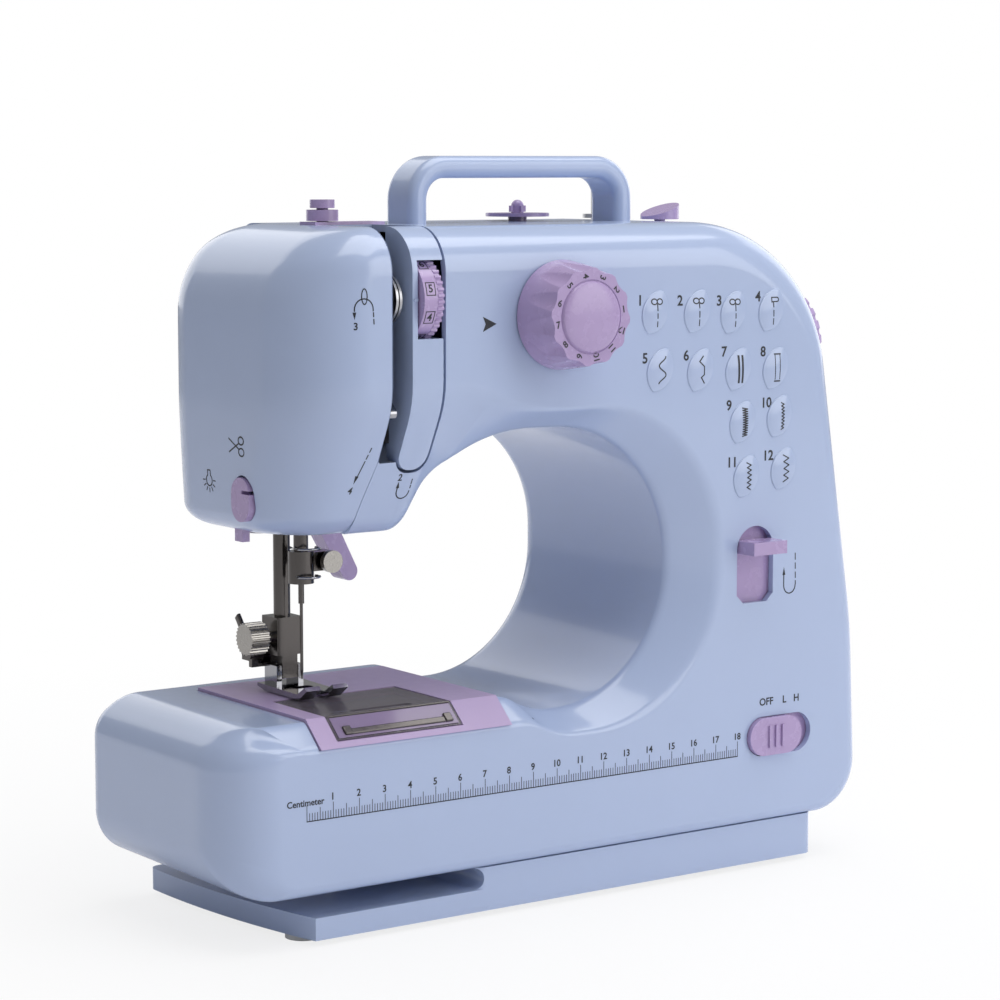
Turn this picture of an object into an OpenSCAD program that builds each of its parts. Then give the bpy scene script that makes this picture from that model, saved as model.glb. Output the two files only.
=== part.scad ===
// Compact free-arm sewing machine. X runs to the handwheel, Y to the back, Z up.
// The geometry is laid out from the bed's left end, front face and floor, and then
// moved so that the origin is the centre of the footprint of the whole machine.

/* [Housing] */
// Width of the column at the handwheel's end
column_w = 86; // [80:1:102]
// Depth of the housing, front to back
body_depth = 98; // [96:1:108]
// Height of the bed from its underside to the work surface
bed_h = 56; // [54:1:64]
// Clear height between the bed and the underside of the head
work_h = 58; // [56:1:66]
// Height of the head from its underside to the top of the machine
head_h = 101.5; // [99:0.5:110]
// Wall thickness of the moulded shells
wall = 2.4; // [2:0.1:2.8]
// How far the head stands back from the end of the bed
head_left = 29; // [26:1:30]
// Distance from the end of the bed to the inside of the column
throat_reach = 183; // [178:1:185]
// Roundness of the long top edge
top_edge_r = 15; // [12:0.5:16]
// Roundness of the upright corner of the head
head_corner_r = 27; // [24:0.5:28]
// How far the lower front of the head leans back
head_lean = 21; // [17:0.5:22]
// Height of the lean below the crease across the head
lean_h = 43.5; // [40:0.5:45]

/* [Base] */
// Height of the rubber feet
foot_h = 2; // [1.5:0.1:4]
// Thickness of the base plate under the free arm
plate_t = 7.5; // [6:0.5:9]
// Height of the slot between the base plate and the free arm
slot_h = 7.5; // [6.5:0.5:10]
// Radius of each rubber foot
foot_r = 6; // [5:0.5:8]

/* [Work surface] */
// Length of the needle plate along the bed
needle_plate_len = 76; // [74:1:76]
// How far the needle plate runs to the back
needle_plate_depth = 80; // [76:1:82]
// Length of the bobbin cover along the bed
bobbin_cover_len = 49.5; // [48:0.5:51]
// Radius of the rotary hook
hook_r = 21; // [20.5:0.1:21.2]
// Radius of the bobbin
bobbin_r = 10.2; // [9.5:0.1:10.4]

/* [Needle and presser foot] */
// Diameter of the needle bar
needle_bar_d = 5; // [4.5:0.1:5.2]
// Diameter of the presser bar
presser_bar_d = 5.8; // [5.2:0.1:6]
// Distance from the needle bar back to the presser bar
bar_pitch = 12.7; // [12.5:0.1:14]
// Radius of the crank that lifts the needle bar
crank_r = 12; // [11:0.5:12]
// Width of the presser foot
presser_foot_w = 16.5; // [14:0.5:17]

/* [Controls] */
// Radius of the stitch dial at the front of the machine
stitch_dial_r = 18.6; // [17:0.2:20]
// How far the stitch dial stands out
stitch_dial_h = 17; // [14:0.5:20]
// Radius of the thread tension dial
tension_dial_r = 14; // [13.6:0.1:14.4]
// Radius of the handwheel
handwheel_r = 21; // [18:0.5:21.5]
// Width of the handwheel
handwheel_w = 18; // [16:0.5:22]
// Length of the power switch slider
power_slider_len = 24; // [22:0.5:25]
// Travel of the power switch
power_travel = 5.5; // [5:0.5:6]
// Travel of the reverse lever
reverse_travel = 12; // [10:0.5:12.5]

/* [Carry handle] */
// Distance from the pretension guide to the carry handle
handle_gap_left = 8.5; // [7:0.5:14]
// Distance from the winder stop's seat to the carry handle
handle_gap_right = 10.5; // [8:0.5:16]
// Depth of the carry handle
handle_w = 17; // [15:0.5:22]
// Height of the carry handle above the top of the machine
handle_h = 23; // [22:0.5:30]
// Thickness of the carry handle
handle_t = 7.6; // [7:0.2:9]

/* [Hidden] */
$fn = 64;
run_fit = 0.05;
gap = 0.3;
seam_y = body_depth / 2;
body_len = throat_reach + column_w;

// Heights, from the floor up
bed_bottom = foot_h + plate_t + slot_h;
bed_top = bed_bottom + bed_h;
head_bottom = bed_top + work_h;
top_z = head_bottom + head_h;
crease_z = head_bottom + lean_h;
shaft_z = top_z - 47;

// Bed, throat and column
bed_chamfer_h = 8;
bed_chamfer_d = 9;
bed_corner_r = 22;
low_edge_r = 4;
side_edge_r = 7;
back_edge_r = 10;
back_corner_r = 23;
throat_r = 47;
throat_dip = 6.5;
throat_bottom = bed_top - throat_dip;
throat_top = head_bottom + 32;
throat_bevel = 10;
throat_bevel_w = 7.5;
side_top_x = body_len - 25;
side_bend_x = body_len - 3;
side_bend_z = bed_top + 12;

// Needle, presser bar and hook
needle_x = head_left + 28.4;
needle_y = seam_y;
presser_y = needle_y + bar_pitch;
plate_top = bed_top + 1;
needle_r = needle_bar_d / 2;
presser_r = presser_bar_d / 2;
hook_x = needle_x + 7.6;
hook_y = needle_y - 21;
hook_bottom = bed_top - 23;

// Front details
stitch_x = throat_reach - 53;
stitch_z = top_z - 30;
groove_x0 = head_left + 33.5;
groove_x1 = groove_x0 + 7;
strip_w = 13;
strip_x1 = groove_x1 + strip_w;
strip_gap = 1;
strip_z0 = crease_z - 22;
tension_y = tension_dial_r - 3.5;
tension_z = top_z - 23.5;
tension_x0 = groove_x1 + 3.6;
tension_w = 7.6;
tension_window = tension_dial_r - 1.2;
reverse_x = throat_reach + 33.4;
reverse_z = bed_top + 38.2;
reverse_w = 16.8;
reverse_h = 27.5;
power_x = throat_reach + 45.4;
power_z = bed_top - 24.6;
power_slot_h = 14.3;
power_slot_len = power_slider_len + power_travel + 2 * gap;

// Top details
spool_x = throat_reach - 23.5;
spool_y = seam_y + 17;
guide_x = needle_x + 9.4;
guide_plate_w = 21.7;
spindle_x = throat_reach + 15.5;
spindle_y = seam_y + 20;
winder_stop_x = throat_reach + 28;
winder_seat_r = 8;
handle_x = guide_x + guide_plate_w + handle_gap_left;
handle_len = winder_stop_x - winder_seat_r - handle_gap_right - handle_x;

// Drive
wheel_x = side_top_x + 11.5;
shaft_r = 4;
crank_x = needle_x + 11.6;
rod_x = needle_x + 6.6;
rod_t = 2.2;
rod_len = 30;
drive_pulley_x = throat_reach + 45;
timing_pulley_x = throat_reach + 5;
motor_x = throat_reach + 16;
motor_len = 25;
motor_r = 14;
motor_z = bed_top + 32;
lower_shaft_r = 3;
lower_shaft_y = hook_y + 12;
lower_shaft_z = bed_bottom + 21;
hook_gear_r = 5.8;

// The whole machine, for its origin
wheel_end_x = wheel_x + handwheel_w;
dial_front_y = -stitch_dial_h - 2;
center_x = wheel_end_x / 2;
center_y = (dial_front_y + body_depth) / 2;

blue = [0.72, 0.79, 0.91];
lilac = [0.70, 0.62, 0.79];
smoke = [0.25, 0.25, 0.28, 0.6];
steel = [0.55, 0.56, 0.58];
dark = [0.15, 0.15, 0.17];
white = [0.92, 0.92, 0.92];

// ---- Outline of the housing ------------------------------------------------

function unit(v) = v / norm(v);

// Points of the rounded corner at b between a and c, which starts t before b
function corner_arc(a, b, c, t, n) =
    let (
        u = unit(b - a),
        v = unit(c - b),
        turn = atan2(u.x * v.y - u.y * v.x, u * v),
        start = b - t * u
    )
    n == 0 ? [b] :
    abs(turn) < 0.5 ? [for (i = [0:n]) start + 2 * t * i / n * u] :
    let (
        r = t / tan(abs(turn) / 2),
        side = sign(turn) * [-u.y, u.x]
    )
    [for (i = [0:n]) let (w = abs(turn) * i / n) start + r * (sin(w) * u + (1 - cos(w)) * side)];

function flat(v) = [v.x, v.y];

// Column c of the stations, 0 for the seam outline and 1 for the face outline
function loop(st, c) =
    let (m = len(st))
    [for (i = [0:m - 1])
        each corner_arc(
            flat(st[(i + m - 1) % m][c]), flat(st[i][c]), flat(st[(i + 1) % m][c]),
            st[i][c][2], st[i][4])];

// Column c of the stations, spread over each corner's points
function spread(st, c) =
    [for (s = st) each s[4] == 0 ? [s[c][0]] :
        [for (i = [0:s[4]]) s[c][0] + (s[c][1] - s[c][0]) * i / s[4]]];

// The outline moved to its inside by w
function inset(p, w) =
    let (m = len(p))
    [for (i = [0:m - 1])
        let (d = unit(p[(i + 1) % m] - p[(i + m - 1) % m]))
        p[i] + w * [d.y, -d.x]];

// One ring of the edge, t from 0 at the side to 1 on the face
function edge_ring(s, f, d, k, y0, t) =
    [for (i = [0:len(s) - 1])
        let (
            a = k[i] * (1 - cos(90 * t)) + (1 - k[i]) * t,
            b = k[i] * (1 - sin(90 * t)) + (1 - k[i]) * (1 - t),
            q = s[i] + (f[i] - s[i]) * a
        )
        [q.x, y0 + (d[i] - y0) * b, q.y]];

function reversed(v) = [for (i = [len(v) - 1:-1:0]) v[i]];

// Triangles that fill the band between two chains a and b of the points p
function zip(p, a, b, i, j) =
    let (
        more_a = i < len(a) - 1,
        more_b = j < len(b) - 1,
        step_a = more_a && (!more_b || norm(p[a[i + 1]] - p[b[j]]) <= norm(p[a[i]] - p[b[j + 1]]))
    )
    !more_a && !more_b ? [] :
    step_a ? concat([[a[i], a[i + 1], b[j]]], zip(p, a, b, i + 1, j)) :
    concat([[a[i], b[j + 1], b[j]]], zip(p, a, b, i, j + 1));

// Points in the stations from the given one to the last
function corner_points(st, from) =
    from >= len(st) ? 0 : st[from][4] + 1 + corner_points(st, from + 1);

// Stations 1 to this one lie along the bed, round the throat and under the head
inner_stations = 13;

// Half of a hollow housing, open at the seam, with its face at y = face_y and its
// seam toward the back for dir = 1 or toward the front for dir = -1.
// Each station is [seam corner, face corner, edge depths, edge roundness, segments],
// a corner is [x, z, setback], and the shell lies between two insets of the outline.
module half_shell(st, outer_w, inner_w, seam, face_y, dir) {
    outer_steps = 4;
    inner_steps = 2;
    s = loop(st, 0);
    f = loop(st, 1);
    d = spread(st, 2);
    k = spread(st, 3);
    so = outer_w == 0 ? s : inset(s, outer_w);
    si = inset(s, inner_w);
    deep_o = [for (i = [0:len(d) - 1]) d[i] + outer_w * (1 - k[i])];
    deep_i = [for (i = [0:len(d) - 1]) d[i] + inner_w * (1 - k[i])];
    rings = concat(
        [for (j = [inner_steps:-1:0]) edge_ring(si, f, deep_i, k, inner_w, j / inner_steps)],
        [[for (p = si) [p.x, seam, p.y]]],
        [[for (p = so) [p.x, seam, p.y]]],
        [for (j = [0:outer_steps]) edge_ring(so, f, deep_o, k, outer_w, j / outer_steps)]);
    m = len(s);
    last = len(rings) - 1;
    sides = [for (j = [0:last - 1], i = [0:m - 1], upper = [0, 1])
        let (a = j * m + i, b = j * m + (i + 1) % m)
        upper == 0 ? [a, b, b + m] : [a, b + m, a + m]];
    inner_from = st[0][4] + 1;
    inner_to = m - 1 - corner_points(st, inner_stations + 1);
    inner_chain = [for (i = [inner_from:inner_to]) i];
    outer_chain = concat([for (i = [inner_from - 1:-1:0]) i], [for (i = [m - 1:-1:inner_to + 1]) i]);
    cap = zip(f, inner_chain, outer_chain, 0, 0);
    caps = concat([for (q = cap) reversed(q)], [for (q = cap) [for (i = q) last * m + i]]);
    faces = concat(caps, sides);
    polyhedron(
        points = [for (r = rings) each [for (p = r) [p.x, face_y + dir * p.y, p.z]]],
        faces = dir > 0 ? faces : [for (q = faces) reversed(q)],
        convexity = 10);
}

head_plan_r = 22;
throat_end_x = head_left + 50;

// Height of the crease across the head, which rises a little toward the arm
function crease_at(x) = crease_z + 0.002 * pow(x - head_left - head_corner_r, 2);

// A station on the head's lower edge where it turns round the upright corner
function head_turn(a, face_x) =
    [[head_left + 2 + head_plan_r * (1 - sin(a)), head_bottom, 0],
     [face_x, crease_at(face_x), 0],
     [head_lean + head_plan_r * (1 - cos(a)), 0], [0, 0], 0];

crease_end_x = throat_end_x + 16;

// Stations of the front half, clockwise from the lower left corner of the bed
front_stations = [
    [[0, bed_bottom, 18], [bed_corner_r - 2, bed_bottom + low_edge_r, 6],
        [low_edge_r, bed_corner_r], [1, 1], 4],
    [[0, bed_top - bed_chamfer_h, 6], [bed_corner_r - 2, bed_top - bed_chamfer_h - 3, 2],
        [bed_corner_r, bed_corner_r], [1, 1], 2],
    [[11, bed_top, 6], [bed_corner_r + 4, bed_top - bed_chamfer_h, 3],
        [bed_corner_r, bed_chamfer_d], [1, 0], 4],
    [[throat_reach - 69, bed_top, 3], [throat_reach - 64, bed_top - bed_chamfer_h, 5],
        [bed_chamfer_d, bed_chamfer_d], [0, 0], 2],
    [[throat_reach - 58, throat_bottom, 9], [throat_reach - 53, throat_bottom - throat_bevel_w, 9],
        [bed_chamfer_d, throat_bevel], [0, 0], 2],
    [[throat_reach, throat_bottom, throat_r],
        [throat_reach + 17, throat_bottom - throat_bevel_w, throat_r + 7],
        [throat_bevel, throat_bevel], [0, 0], 9],
    [[throat_reach, throat_top, throat_r],
        [throat_reach + 17, throat_top + throat_bevel_w, throat_r + 7],
        [throat_bevel, throat_bevel], [0, 0], 9],
    [[throat_end_x + 33, throat_top + 1, 14], [throat_end_x + 38, throat_top + throat_bevel_w, 14],
        [throat_bevel, throat_bevel + 3], [0, 0], 3],
    [[throat_end_x + 7, head_bottom + 19, 8], [crease_end_x, crease_at(crease_end_x), 8],
        [throat_bevel + 4, head_lean - 3], [0, 0], 3],
    [[throat_end_x, head_bottom, 5], [throat_end_x + 1, crease_at(throat_end_x + 1), 4],
        [head_lean - 1, head_lean], [0, 0], 3],
    head_turn(0, head_left + head_corner_r + 13),
    head_turn(20, head_left + head_corner_r + 9),
    head_turn(40, head_left + head_corner_r + 5),
    [[head_left + 2, head_bottom, 4], [head_left + head_corner_r, crease_z, 2],
        [head_lean + 0.4 * head_plan_r, head_lean + head_plan_r], [0, 0], 4],
    [[head_left, crease_z, 0], [head_left + head_corner_r - 0.3, crease_z + 4, 0],
        [head_corner_r, 0], [1, 0], 0],
    [[head_left, top_z, 30], [head_left + head_corner_r, top_z - top_edge_r, 10],
        [head_corner_r, top_edge_r], [1, 1], 6],
    [[side_top_x, top_z, 48], [side_top_x - side_edge_r, top_z - top_edge_r, 42],
        [top_edge_r, side_edge_r], [1, 1], 7],
    [[side_bend_x, side_bend_z, 10], [side_bend_x - side_edge_r, side_bend_z, 10],
        [side_edge_r, side_edge_r], [1, 1], 1],
    [[body_len, bed_bottom, 20], [body_len - side_edge_r, bed_bottom + low_edge_r, 15],
        [side_edge_r, low_edge_r], [1, 1], 4]
];

// The back half shares the seam outline, and its face outline is evenly rounded
function back_edge_z(x) = head_bottom + back_edge_r + 0.004 * pow(x - head_left - back_edge_r, 2);
back_face = [
    [back_edge_r, bed_bottom + low_edge_r, 12],
    [back_edge_r, bed_top - back_edge_r - 3, 2],
    [back_edge_r + 8, bed_top - back_edge_r, 3],
    [throat_reach - 66, bed_top - back_edge_r, 4],
    [throat_reach - 58, throat_bottom - throat_bevel_w, 6],
    [throat_reach + throat_bevel_w, throat_bottom - throat_bevel_w, throat_r + 2],
    [throat_reach + throat_bevel_w, throat_top + back_edge_r, throat_r + 2],
    [throat_end_x + 31, throat_top + back_edge_r, 12],
    [throat_end_x - 2, head_bottom + 28, 6],
    [throat_end_x - 9, back_edge_z(throat_end_x - 9), 3],
    [head_left + 34, back_edge_z(head_left + 34), 0],
    [head_left + 31, back_edge_z(head_left + 31), 0],
    [head_left + 28, back_edge_z(head_left + 28), 0],
    [head_left + back_corner_r, back_edge_z(head_left + back_corner_r), 2],
    [head_left + back_corner_r - 0.3, crease_z, 0],
    [head_left + back_corner_r, top_z - back_edge_r, 12],
    [side_top_x - back_edge_r, top_z - back_edge_r, 42],
    [side_bend_x - back_edge_r, side_bend_z, 10],
    [body_len - back_edge_r, bed_bottom + low_edge_r, 14]
];
last_station = len(front_stations) - 1;
head_station = inner_stations - 1;
function back_depths(i) =
    i == 0 ? [low_edge_r, back_edge_r] :
    i == last_station ? [back_edge_r, low_edge_r] :
    i == head_station ? [back_edge_r, back_edge_r + 4] :
    i == head_station + 1 ? [back_edge_r + 4, back_corner_r] :
    i == head_station + 2 ? [back_corner_r, back_corner_r] :
    i == head_station + 3 ? [back_corner_r, back_edge_r] :
    [back_edge_r, back_edge_r];
back_stations = [for (i = [0:last_station])
    [front_stations[i][0], back_face[i], back_depths(i), [1, 1], front_stations[i][4]]];

module front_shell(outer_w, inner_w) {
    half_shell(front_stations, outer_w, inner_w, seam_y, 0, 1);
}

module back_shell(outer_w, inner_w) {
    half_shell(back_stations, outer_w, inner_w, body_depth - seam_y, body_depth, -1);
}

// ---- Shared shapes -----------------------------------------------------------

// Moves a piece from the layout to the machine's own origin
module placed() {
    translate([-center_x, -center_y, 0])
        children();
}

module rotate_about(p, a) {
    translate(p)
        rotate([0, 0, a])
            translate(-p)
                children();
}

// A rounded rectangle from its lower left corner
module rounded_rect(w, h, r) {
    translate([r, 0])
        square([w - 2 * r, h]);
    translate([0, r])
        square([w, h - 2 * r]);
    for (x = [r, w - r], y = [r, h - r])
        translate([x, y])
            circle(r);
}

// Extrusion to the back of an outline drawn in x and z, from y0 on
module to_back(y0, depth) {
    translate([0, y0 + depth, 0])
        rotate([90, 0, 0])
            linear_extrude(depth)
                children();
}

// Extrusion to the right of an outline drawn in y and z, from x0 on
module to_right(x0, length) {
    translate([x0, 0, 0])
        rotate([90, 0, 90])
            linear_extrude(length)
                children();
}

module rod_x(x0, y, z, length, r) {
    translate([x0, y, z])
        rotate([0, 90, 0])
            cylinder(h = length, r = r);
}

module rod_y(x, y0, z, length, r) {
    translate([x, y0, z])
        rotate([-90, 0, 0])
            cylinder(h = length, r = r);
}

module rod_z(x, y, z0, length, r) {
    translate([x, y, z0])
        cylinder(h = length, r = r);
}

module box(x0, y0, z0, x1, y1, z1) {
    translate([x0, y0, z0])
        cube([x1 - x0, y1 - y0, z1 - z0]);
}

// Outline of a spur gear with straight-sided teeth
module gear_outline(r, teeth, tooth_h) {
    step = 360 / teeth;
    polygon([for (i = [0:teeth - 1], q = [[0, 0], [0.22, 1], [0.5, 1], [0.72, 0]])
        let (a = (i + q[0]) * step, rr = r - tooth_h + q[1] * tooth_h)
        rr * [cos(a), sin(a)]]);
}

// Closed belt round two wheels at p and q, drawn in y and z
module belt_outline(p, pr, q, qr) {
    hull() {
        translate(p)
            circle(pr, $fn = 32);
        translate(q)
            circle(qr, $fn = 32);
    }
}

// ---- Cuts in the housing -------------------------------------------------------

cover_split = [[-5, head_bottom - 11], [head_left + 30, head_bottom - 11],
    [head_left + 30, head_bottom + 3], [head_left + 31.2, head_bottom + 12],
    [groove_x0, strip_z0 + 3], [groove_x0, top_z + 8], [-5, top_z + 8]];

lamp_x = head_left + 14;
lamp_y = seam_y + 3;
lamp_r = 3.4;
switch_x = head_left + 6.3;
switch_w = 2.8;
switch_y = seam_y + 1;
switch_len = 5;
switch_travel = 3;

cutter_w = 11.5;
cutter_h = 14.7;
cutter_y = seam_y - 8;
cutter_z = head_bottom + 11.9;

// The thread cutter's pad on the head's end, made smaller by the press fit of its pocket
module cutter_pad(press) {
    w = cutter_w - 2 * press;
    h = cutter_h - 2 * press;
    to_right(head_left + 0.2, 3.4)
        translate([cutter_y - w / 2, cutter_z - h / 2])
            rounded_rect(w, h, w / 2 - 0.01);
}

// What the head cover takes away from the two shells, with a hairline joint
module cover_space() {
    to_back(-5, body_depth + 10)
        polygon([for (p = cover_split) p + [p.x > 0 ? gap : 0, 0]]);
}

module strip_area(x0, x1, z0, r) {
    translate([x0, z0])
        rounded_rect(x1 - x0, top_z + 8 + r - z0, r);
}

channel_back_y = seam_y - 5;

module channel_space() {
    to_back(-5, channel_back_y + 5)
        union() {
            strip_area(groove_x0 + gap, groove_x1 + strip_gap, strip_z0 + 3, 1);
            strip_area(groove_x1, strip_x1 + strip_gap, strip_z0 - strip_gap, 6);
        }
}

plate_x0 = needle_x - 23.4;
plate_x1 = plate_x0 + needle_plate_len;

module needle_plate_space() {
    box(plate_x0, -1, bed_top - bed_chamfer_h, plate_x1, needle_plate_depth, plate_top + 5);
}

module bar_space() {
    translate([needle_x - 8.5, needle_y - 6, head_bottom - 5])
        linear_extrude(wall + 7)
            rounded_rect(17.5, bar_pitch + 12, 5);
}

lifter_x = needle_x + 14.6;
lifter_z = head_bottom + 10;
lifter_y0 = presser_y + 4.6;
lifter_t = 8;
lifter_r = 6;

module lifter_space() {
    box(lifter_x - 7, lifter_y0 - 0.8, head_bottom - 4,
        throat_end_x + 20, lifter_y0 + lifter_t + 0.8, head_bottom + 16.5);
}

module power_outline(len, h) {
    translate([power_x - len / 2, power_z - h / 2])
        rounded_rect(len, h, h / 2 - 0.01);
}

module reverse_outline(grow) {
    w = reverse_w + 2 * grow;
    translate([reverse_x - w / 2, reverse_z - reverse_h / 2 - grow])
        rounded_rect(w, reverse_h - w / 2 + 2 * grow, 3);
    translate([reverse_x, reverse_z + reverse_h / 2 + grow - w / 2])
        circle(w / 2);
}

spool_pin_r = 2.3;
spool_stem_r = 3.4;
spindle_r = 3;

// Holes on the top and side that both shells share
module shared_holes() {
    rod_x(side_top_x - 6, seam_y, shaft_z, 30, shaft_r + gap);
    rod_z(winder_stop_x, seam_y, top_z - 12, 20, 2 + run_fit);
    needle_plate_space();
    bar_space();
}

// Raised leaf that carries one stitch picture
module leaf() {
    leaf_r = 10.5;
    off = 4;
    rotate([0, 0, -20])
        intersection() {
            translate([-off, 0])
                circle(leaf_r);
            translate([off, 0])
                circle(leaf_r);
        }
}

leaf_pitch_x = 17;
leaf_pitch_z = 19.9;
leaf_origin = [throat_reach - 12.8, crease_z + 27.7];
leaf_columns = [[0, 1, 2, 3], [0, 1, 2, 3], [2, 3], [2, 3]];

module leaves() {
    to_back(-0.8, 2)
        for (row = [0:3], col = leaf_columns[row])
            translate(leaf_origin + [col * leaf_pitch_x + row * 2, -row * leaf_pitch_z])
                leaf();
}

// ---- Housing -----------------------------------------------------------------

// Half of the raised seat under the winder stop, from y0 backwards
module winder_seat(y0) {
    intersection() {
        rod_z(winder_stop_x, seam_y, top_z - 7, 7, winder_seat_r);
        box(winder_stop_x - winder_seat_r, y0, top_z - 8,
            winder_stop_x + winder_seat_r, y0 + winder_seat_r, top_z + 1);
    }
}

module front_housing() {
    color(blue)
        placed()
            difference() {
                union() {
                    front_shell(0, wall);
                    leaves();
                    winder_seat(seam_y - winder_seat_r);
                }
                cover_space();
                channel_space();
                shared_holes();
                rod_y(stitch_x, -3, stitch_z, 10, 6 + gap);
                to_back(-3, 10)
                    power_outline(power_slot_len, power_slot_h);
                to_back(-3, 10)
                    reverse_outline(0);
            }
}

jack_z = bed_bottom + 15;
jack_x = throat_reach + 30;
jack_pitch = 24;
jack_r = 5.5;

module rear_housing() {
    color(blue)
        placed()
            difference() {
                union() {
                    back_shell(0, wall);
                    winder_seat(seam_y);
                    rod_y(lifter_x, body_depth - 12, lifter_z, 10, 5);
                }
                rod_y(lifter_x, body_depth - 13, lifter_z, 10, 2.5 + run_fit);
                cover_space();
                shared_holes();
                lifter_space();
                rod_z(spindle_x, spindle_y, top_z - 8, 12, spindle_r + run_fit);
                rod_z(spool_x, spool_y, top_z - 6, 12, spool_stem_r + gap);
                for (x = [jack_x, jack_x + jack_pitch])
                    rod_y(x, body_depth - 8, jack_z, 16, jack_r + gap);
            }
}

// All of the housing that isn't the head's end
module beyond_cover() {
    to_back(-5, body_depth + 10)
        polygon(concat([[-6, -5], [body_len + 10, -5], [body_len + 10, top_z + 9], [groove_x0, top_z + 9]],
            [for (i = [4:-1:1]) cover_split[i]], [[-6, head_bottom - 11]]));
}

module head_cover() {
    color(blue)
        placed()
            difference() {
                union() {
                    front_shell(0, wall);
                    back_shell(0, wall);
                }
                beyond_cover();
                bar_space();
                rod_z(lamp_x, lamp_y, head_bottom - 2, wall + 4, lamp_r + run_fit);
                cutter_pad(run_fit);
                box(switch_x - gap, switch_y - gap - switch_travel, head_bottom - 2,
                    switch_x + switch_w + gap, switch_y + switch_len + gap, head_bottom + 5);
            }
}

module guide_strip() {
    color(blue)
        placed()
            difference() {
                intersection() {
                    front_shell(0, wall);
                    to_back(-5, channel_back_y + 5 - gap)
                        strip_area(groove_x1 + strip_gap, strip_x1, strip_z0, 5.5);
                }
                box(tension_x0 - 0.6, -3, tension_z - tension_window,
                    strip_x1 + 1, wall + 6, tension_z + tension_window);
            }
}

// The dark channel under the head's grooves, which also carries the tension spindle
module thread_channel() {
    skin = 2;
    depth = wall + 3 * gap;
    lug_t = 2.4;
    color(dark)
        placed()
            difference() {
                union() {
                    difference() {
                        intersection() {
                            front_shell(depth, depth + skin);
                            box(groove_x0 - 3, -1, strip_z0 + 8, strip_x1 + 3, channel_back_y, top_z);
                        }
                        box(tension_x0 - 0.6, -1, tension_z - 13.8,
                            tension_x0 + tension_w + 0.6, depth + skin + 6, tension_z + 13.8);
                        box(take_up_x - 0.7, -1, strip_z0 + 8,
                            groove_x0 + 6.1, seam_y, tension_z + 8.6);
                    }
                    for (x = [groove_x0 + 0.3, strip_x1 + gap])
                        box(x, depth + skin - 0.4, tension_z - 5, x + lug_t, tension_y + 5, tension_z + 5);
                }
                rod_x(groove_x0 - 1, tension_y, tension_z, 30, 2 + run_fit);
            }
}

// ---- Base and handle ---------------------------------------------------------

base_x0 = 23;
base_x1 = body_len - 22;
base_inset = 2;
base_corner_r = 4;
base_bow_r = 350;
rim_x0 = throat_reach - 83;

module base_tray() {
    base_d = body_depth - 2 * base_inset;
    color(blue)
        placed()
            difference() {
                union() {
                    translate([0, 0, foot_h])
                        linear_extrude(plate_t)
                            intersection() {
                                translate([base_x0, base_inset])
                                    rounded_rect(base_x1 - base_x0, base_d, base_corner_r);
                                translate([base_x0 + base_bow_r, body_depth - 12])
                                    circle(base_bow_r, $fn = 360);
                            }
                    translate([rim_x0 - slot_h / 2, base_inset, foot_h + 1])
                        linear_extrude(plate_t + slot_h - 1)
                            rounded_rect(base_x1 - rim_x0 + slot_h / 2, base_d, base_corner_r);
                }
                translate([0, 0, plate_t + foot_h])
                    rod_y(rim_x0 - slot_h / 2, -1, slot_h / 2, body_depth + 2, slot_h / 2);
                box(rim_x0 + 6, base_inset + wall, foot_h + wall,
                    base_x1 - wall - 2, body_depth - base_inset - wall, bed_bottom + 1);
            }
}

foot_spots = [[base_x0 + 14, base_inset + 14], [base_x1 - 14, base_inset + 14],
    [base_x0 + 14, body_depth - base_inset - 14], [base_x1 - 14, body_depth - base_inset - 14]];

module rubber_feet() {
    color(white)
        placed()
            for (p = foot_spots)
                rod_z(p.x, p.y, 0, foot_h, foot_r);
}

handle_bend_r = 11.2;
handle_edge_r = 3.2;

// The handle's round-edged section, across the strap in x and its width in y
module handle_section() {
    translate([-handle_t / 2, -handle_w / 2])
        rounded_rect(handle_t, handle_w, handle_edge_r);
}

module carry_handle() {
    leg_h = handle_h - handle_t / 2 - handle_bend_r;
    leg_x0 = handle_x + handle_t / 2;
    leg_x1 = handle_x + handle_len - handle_t / 2;
    color(blue)
        placed()
            translate([0, seam_y, top_z])
                union() {
                    for (x = [leg_x0, leg_x1])
                        translate([x, 0, 0])
                            linear_extrude(leg_h)
                                handle_section();
                    for (side = [[leg_x0 + handle_bend_r, 90], [leg_x1 - handle_bend_r, 0]])
                        translate([side[0], 0, leg_h])
                            rotate([90, 0, 0])
                                rotate([0, 0, side[1]])
                                    rotate_extrude(angle = 90)
                                        translate([handle_bend_r, 0])
                                            handle_section();
                    translate([leg_x0 + handle_bend_r, 0, handle_h - handle_t / 2])
                        rotate([0, 90, 0])
                            linear_extrude(leg_x1 - leg_x0 - 2 * handle_bend_r)
                                handle_section();
                }
}

// ---- Work surface --------------------------------------------------------------

cover_x0 = plate_x0 + 7.5;
cover_x1 = cover_x0 + bobbin_cover_len;
cover_back_y = seam_y - 6;
cover_lip_z = bed_top - bed_chamfer_h + 2;
sheet_t = 2;
slit_w = 7;

// Section of a sheet that lies on the bed and turns down over its front edge
module sheet_section(back, top, low, t) {
    lean = bed_chamfer_d / bed_chamfer_h;
    front = (low - top + bed_chamfer_h) * lean;
    polygon([[front, low], [bed_chamfer_d, top],
        [back, top], [back, top - t], [bed_chamfer_d + 1, top - t],
        [front + t, low]]);
}

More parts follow.
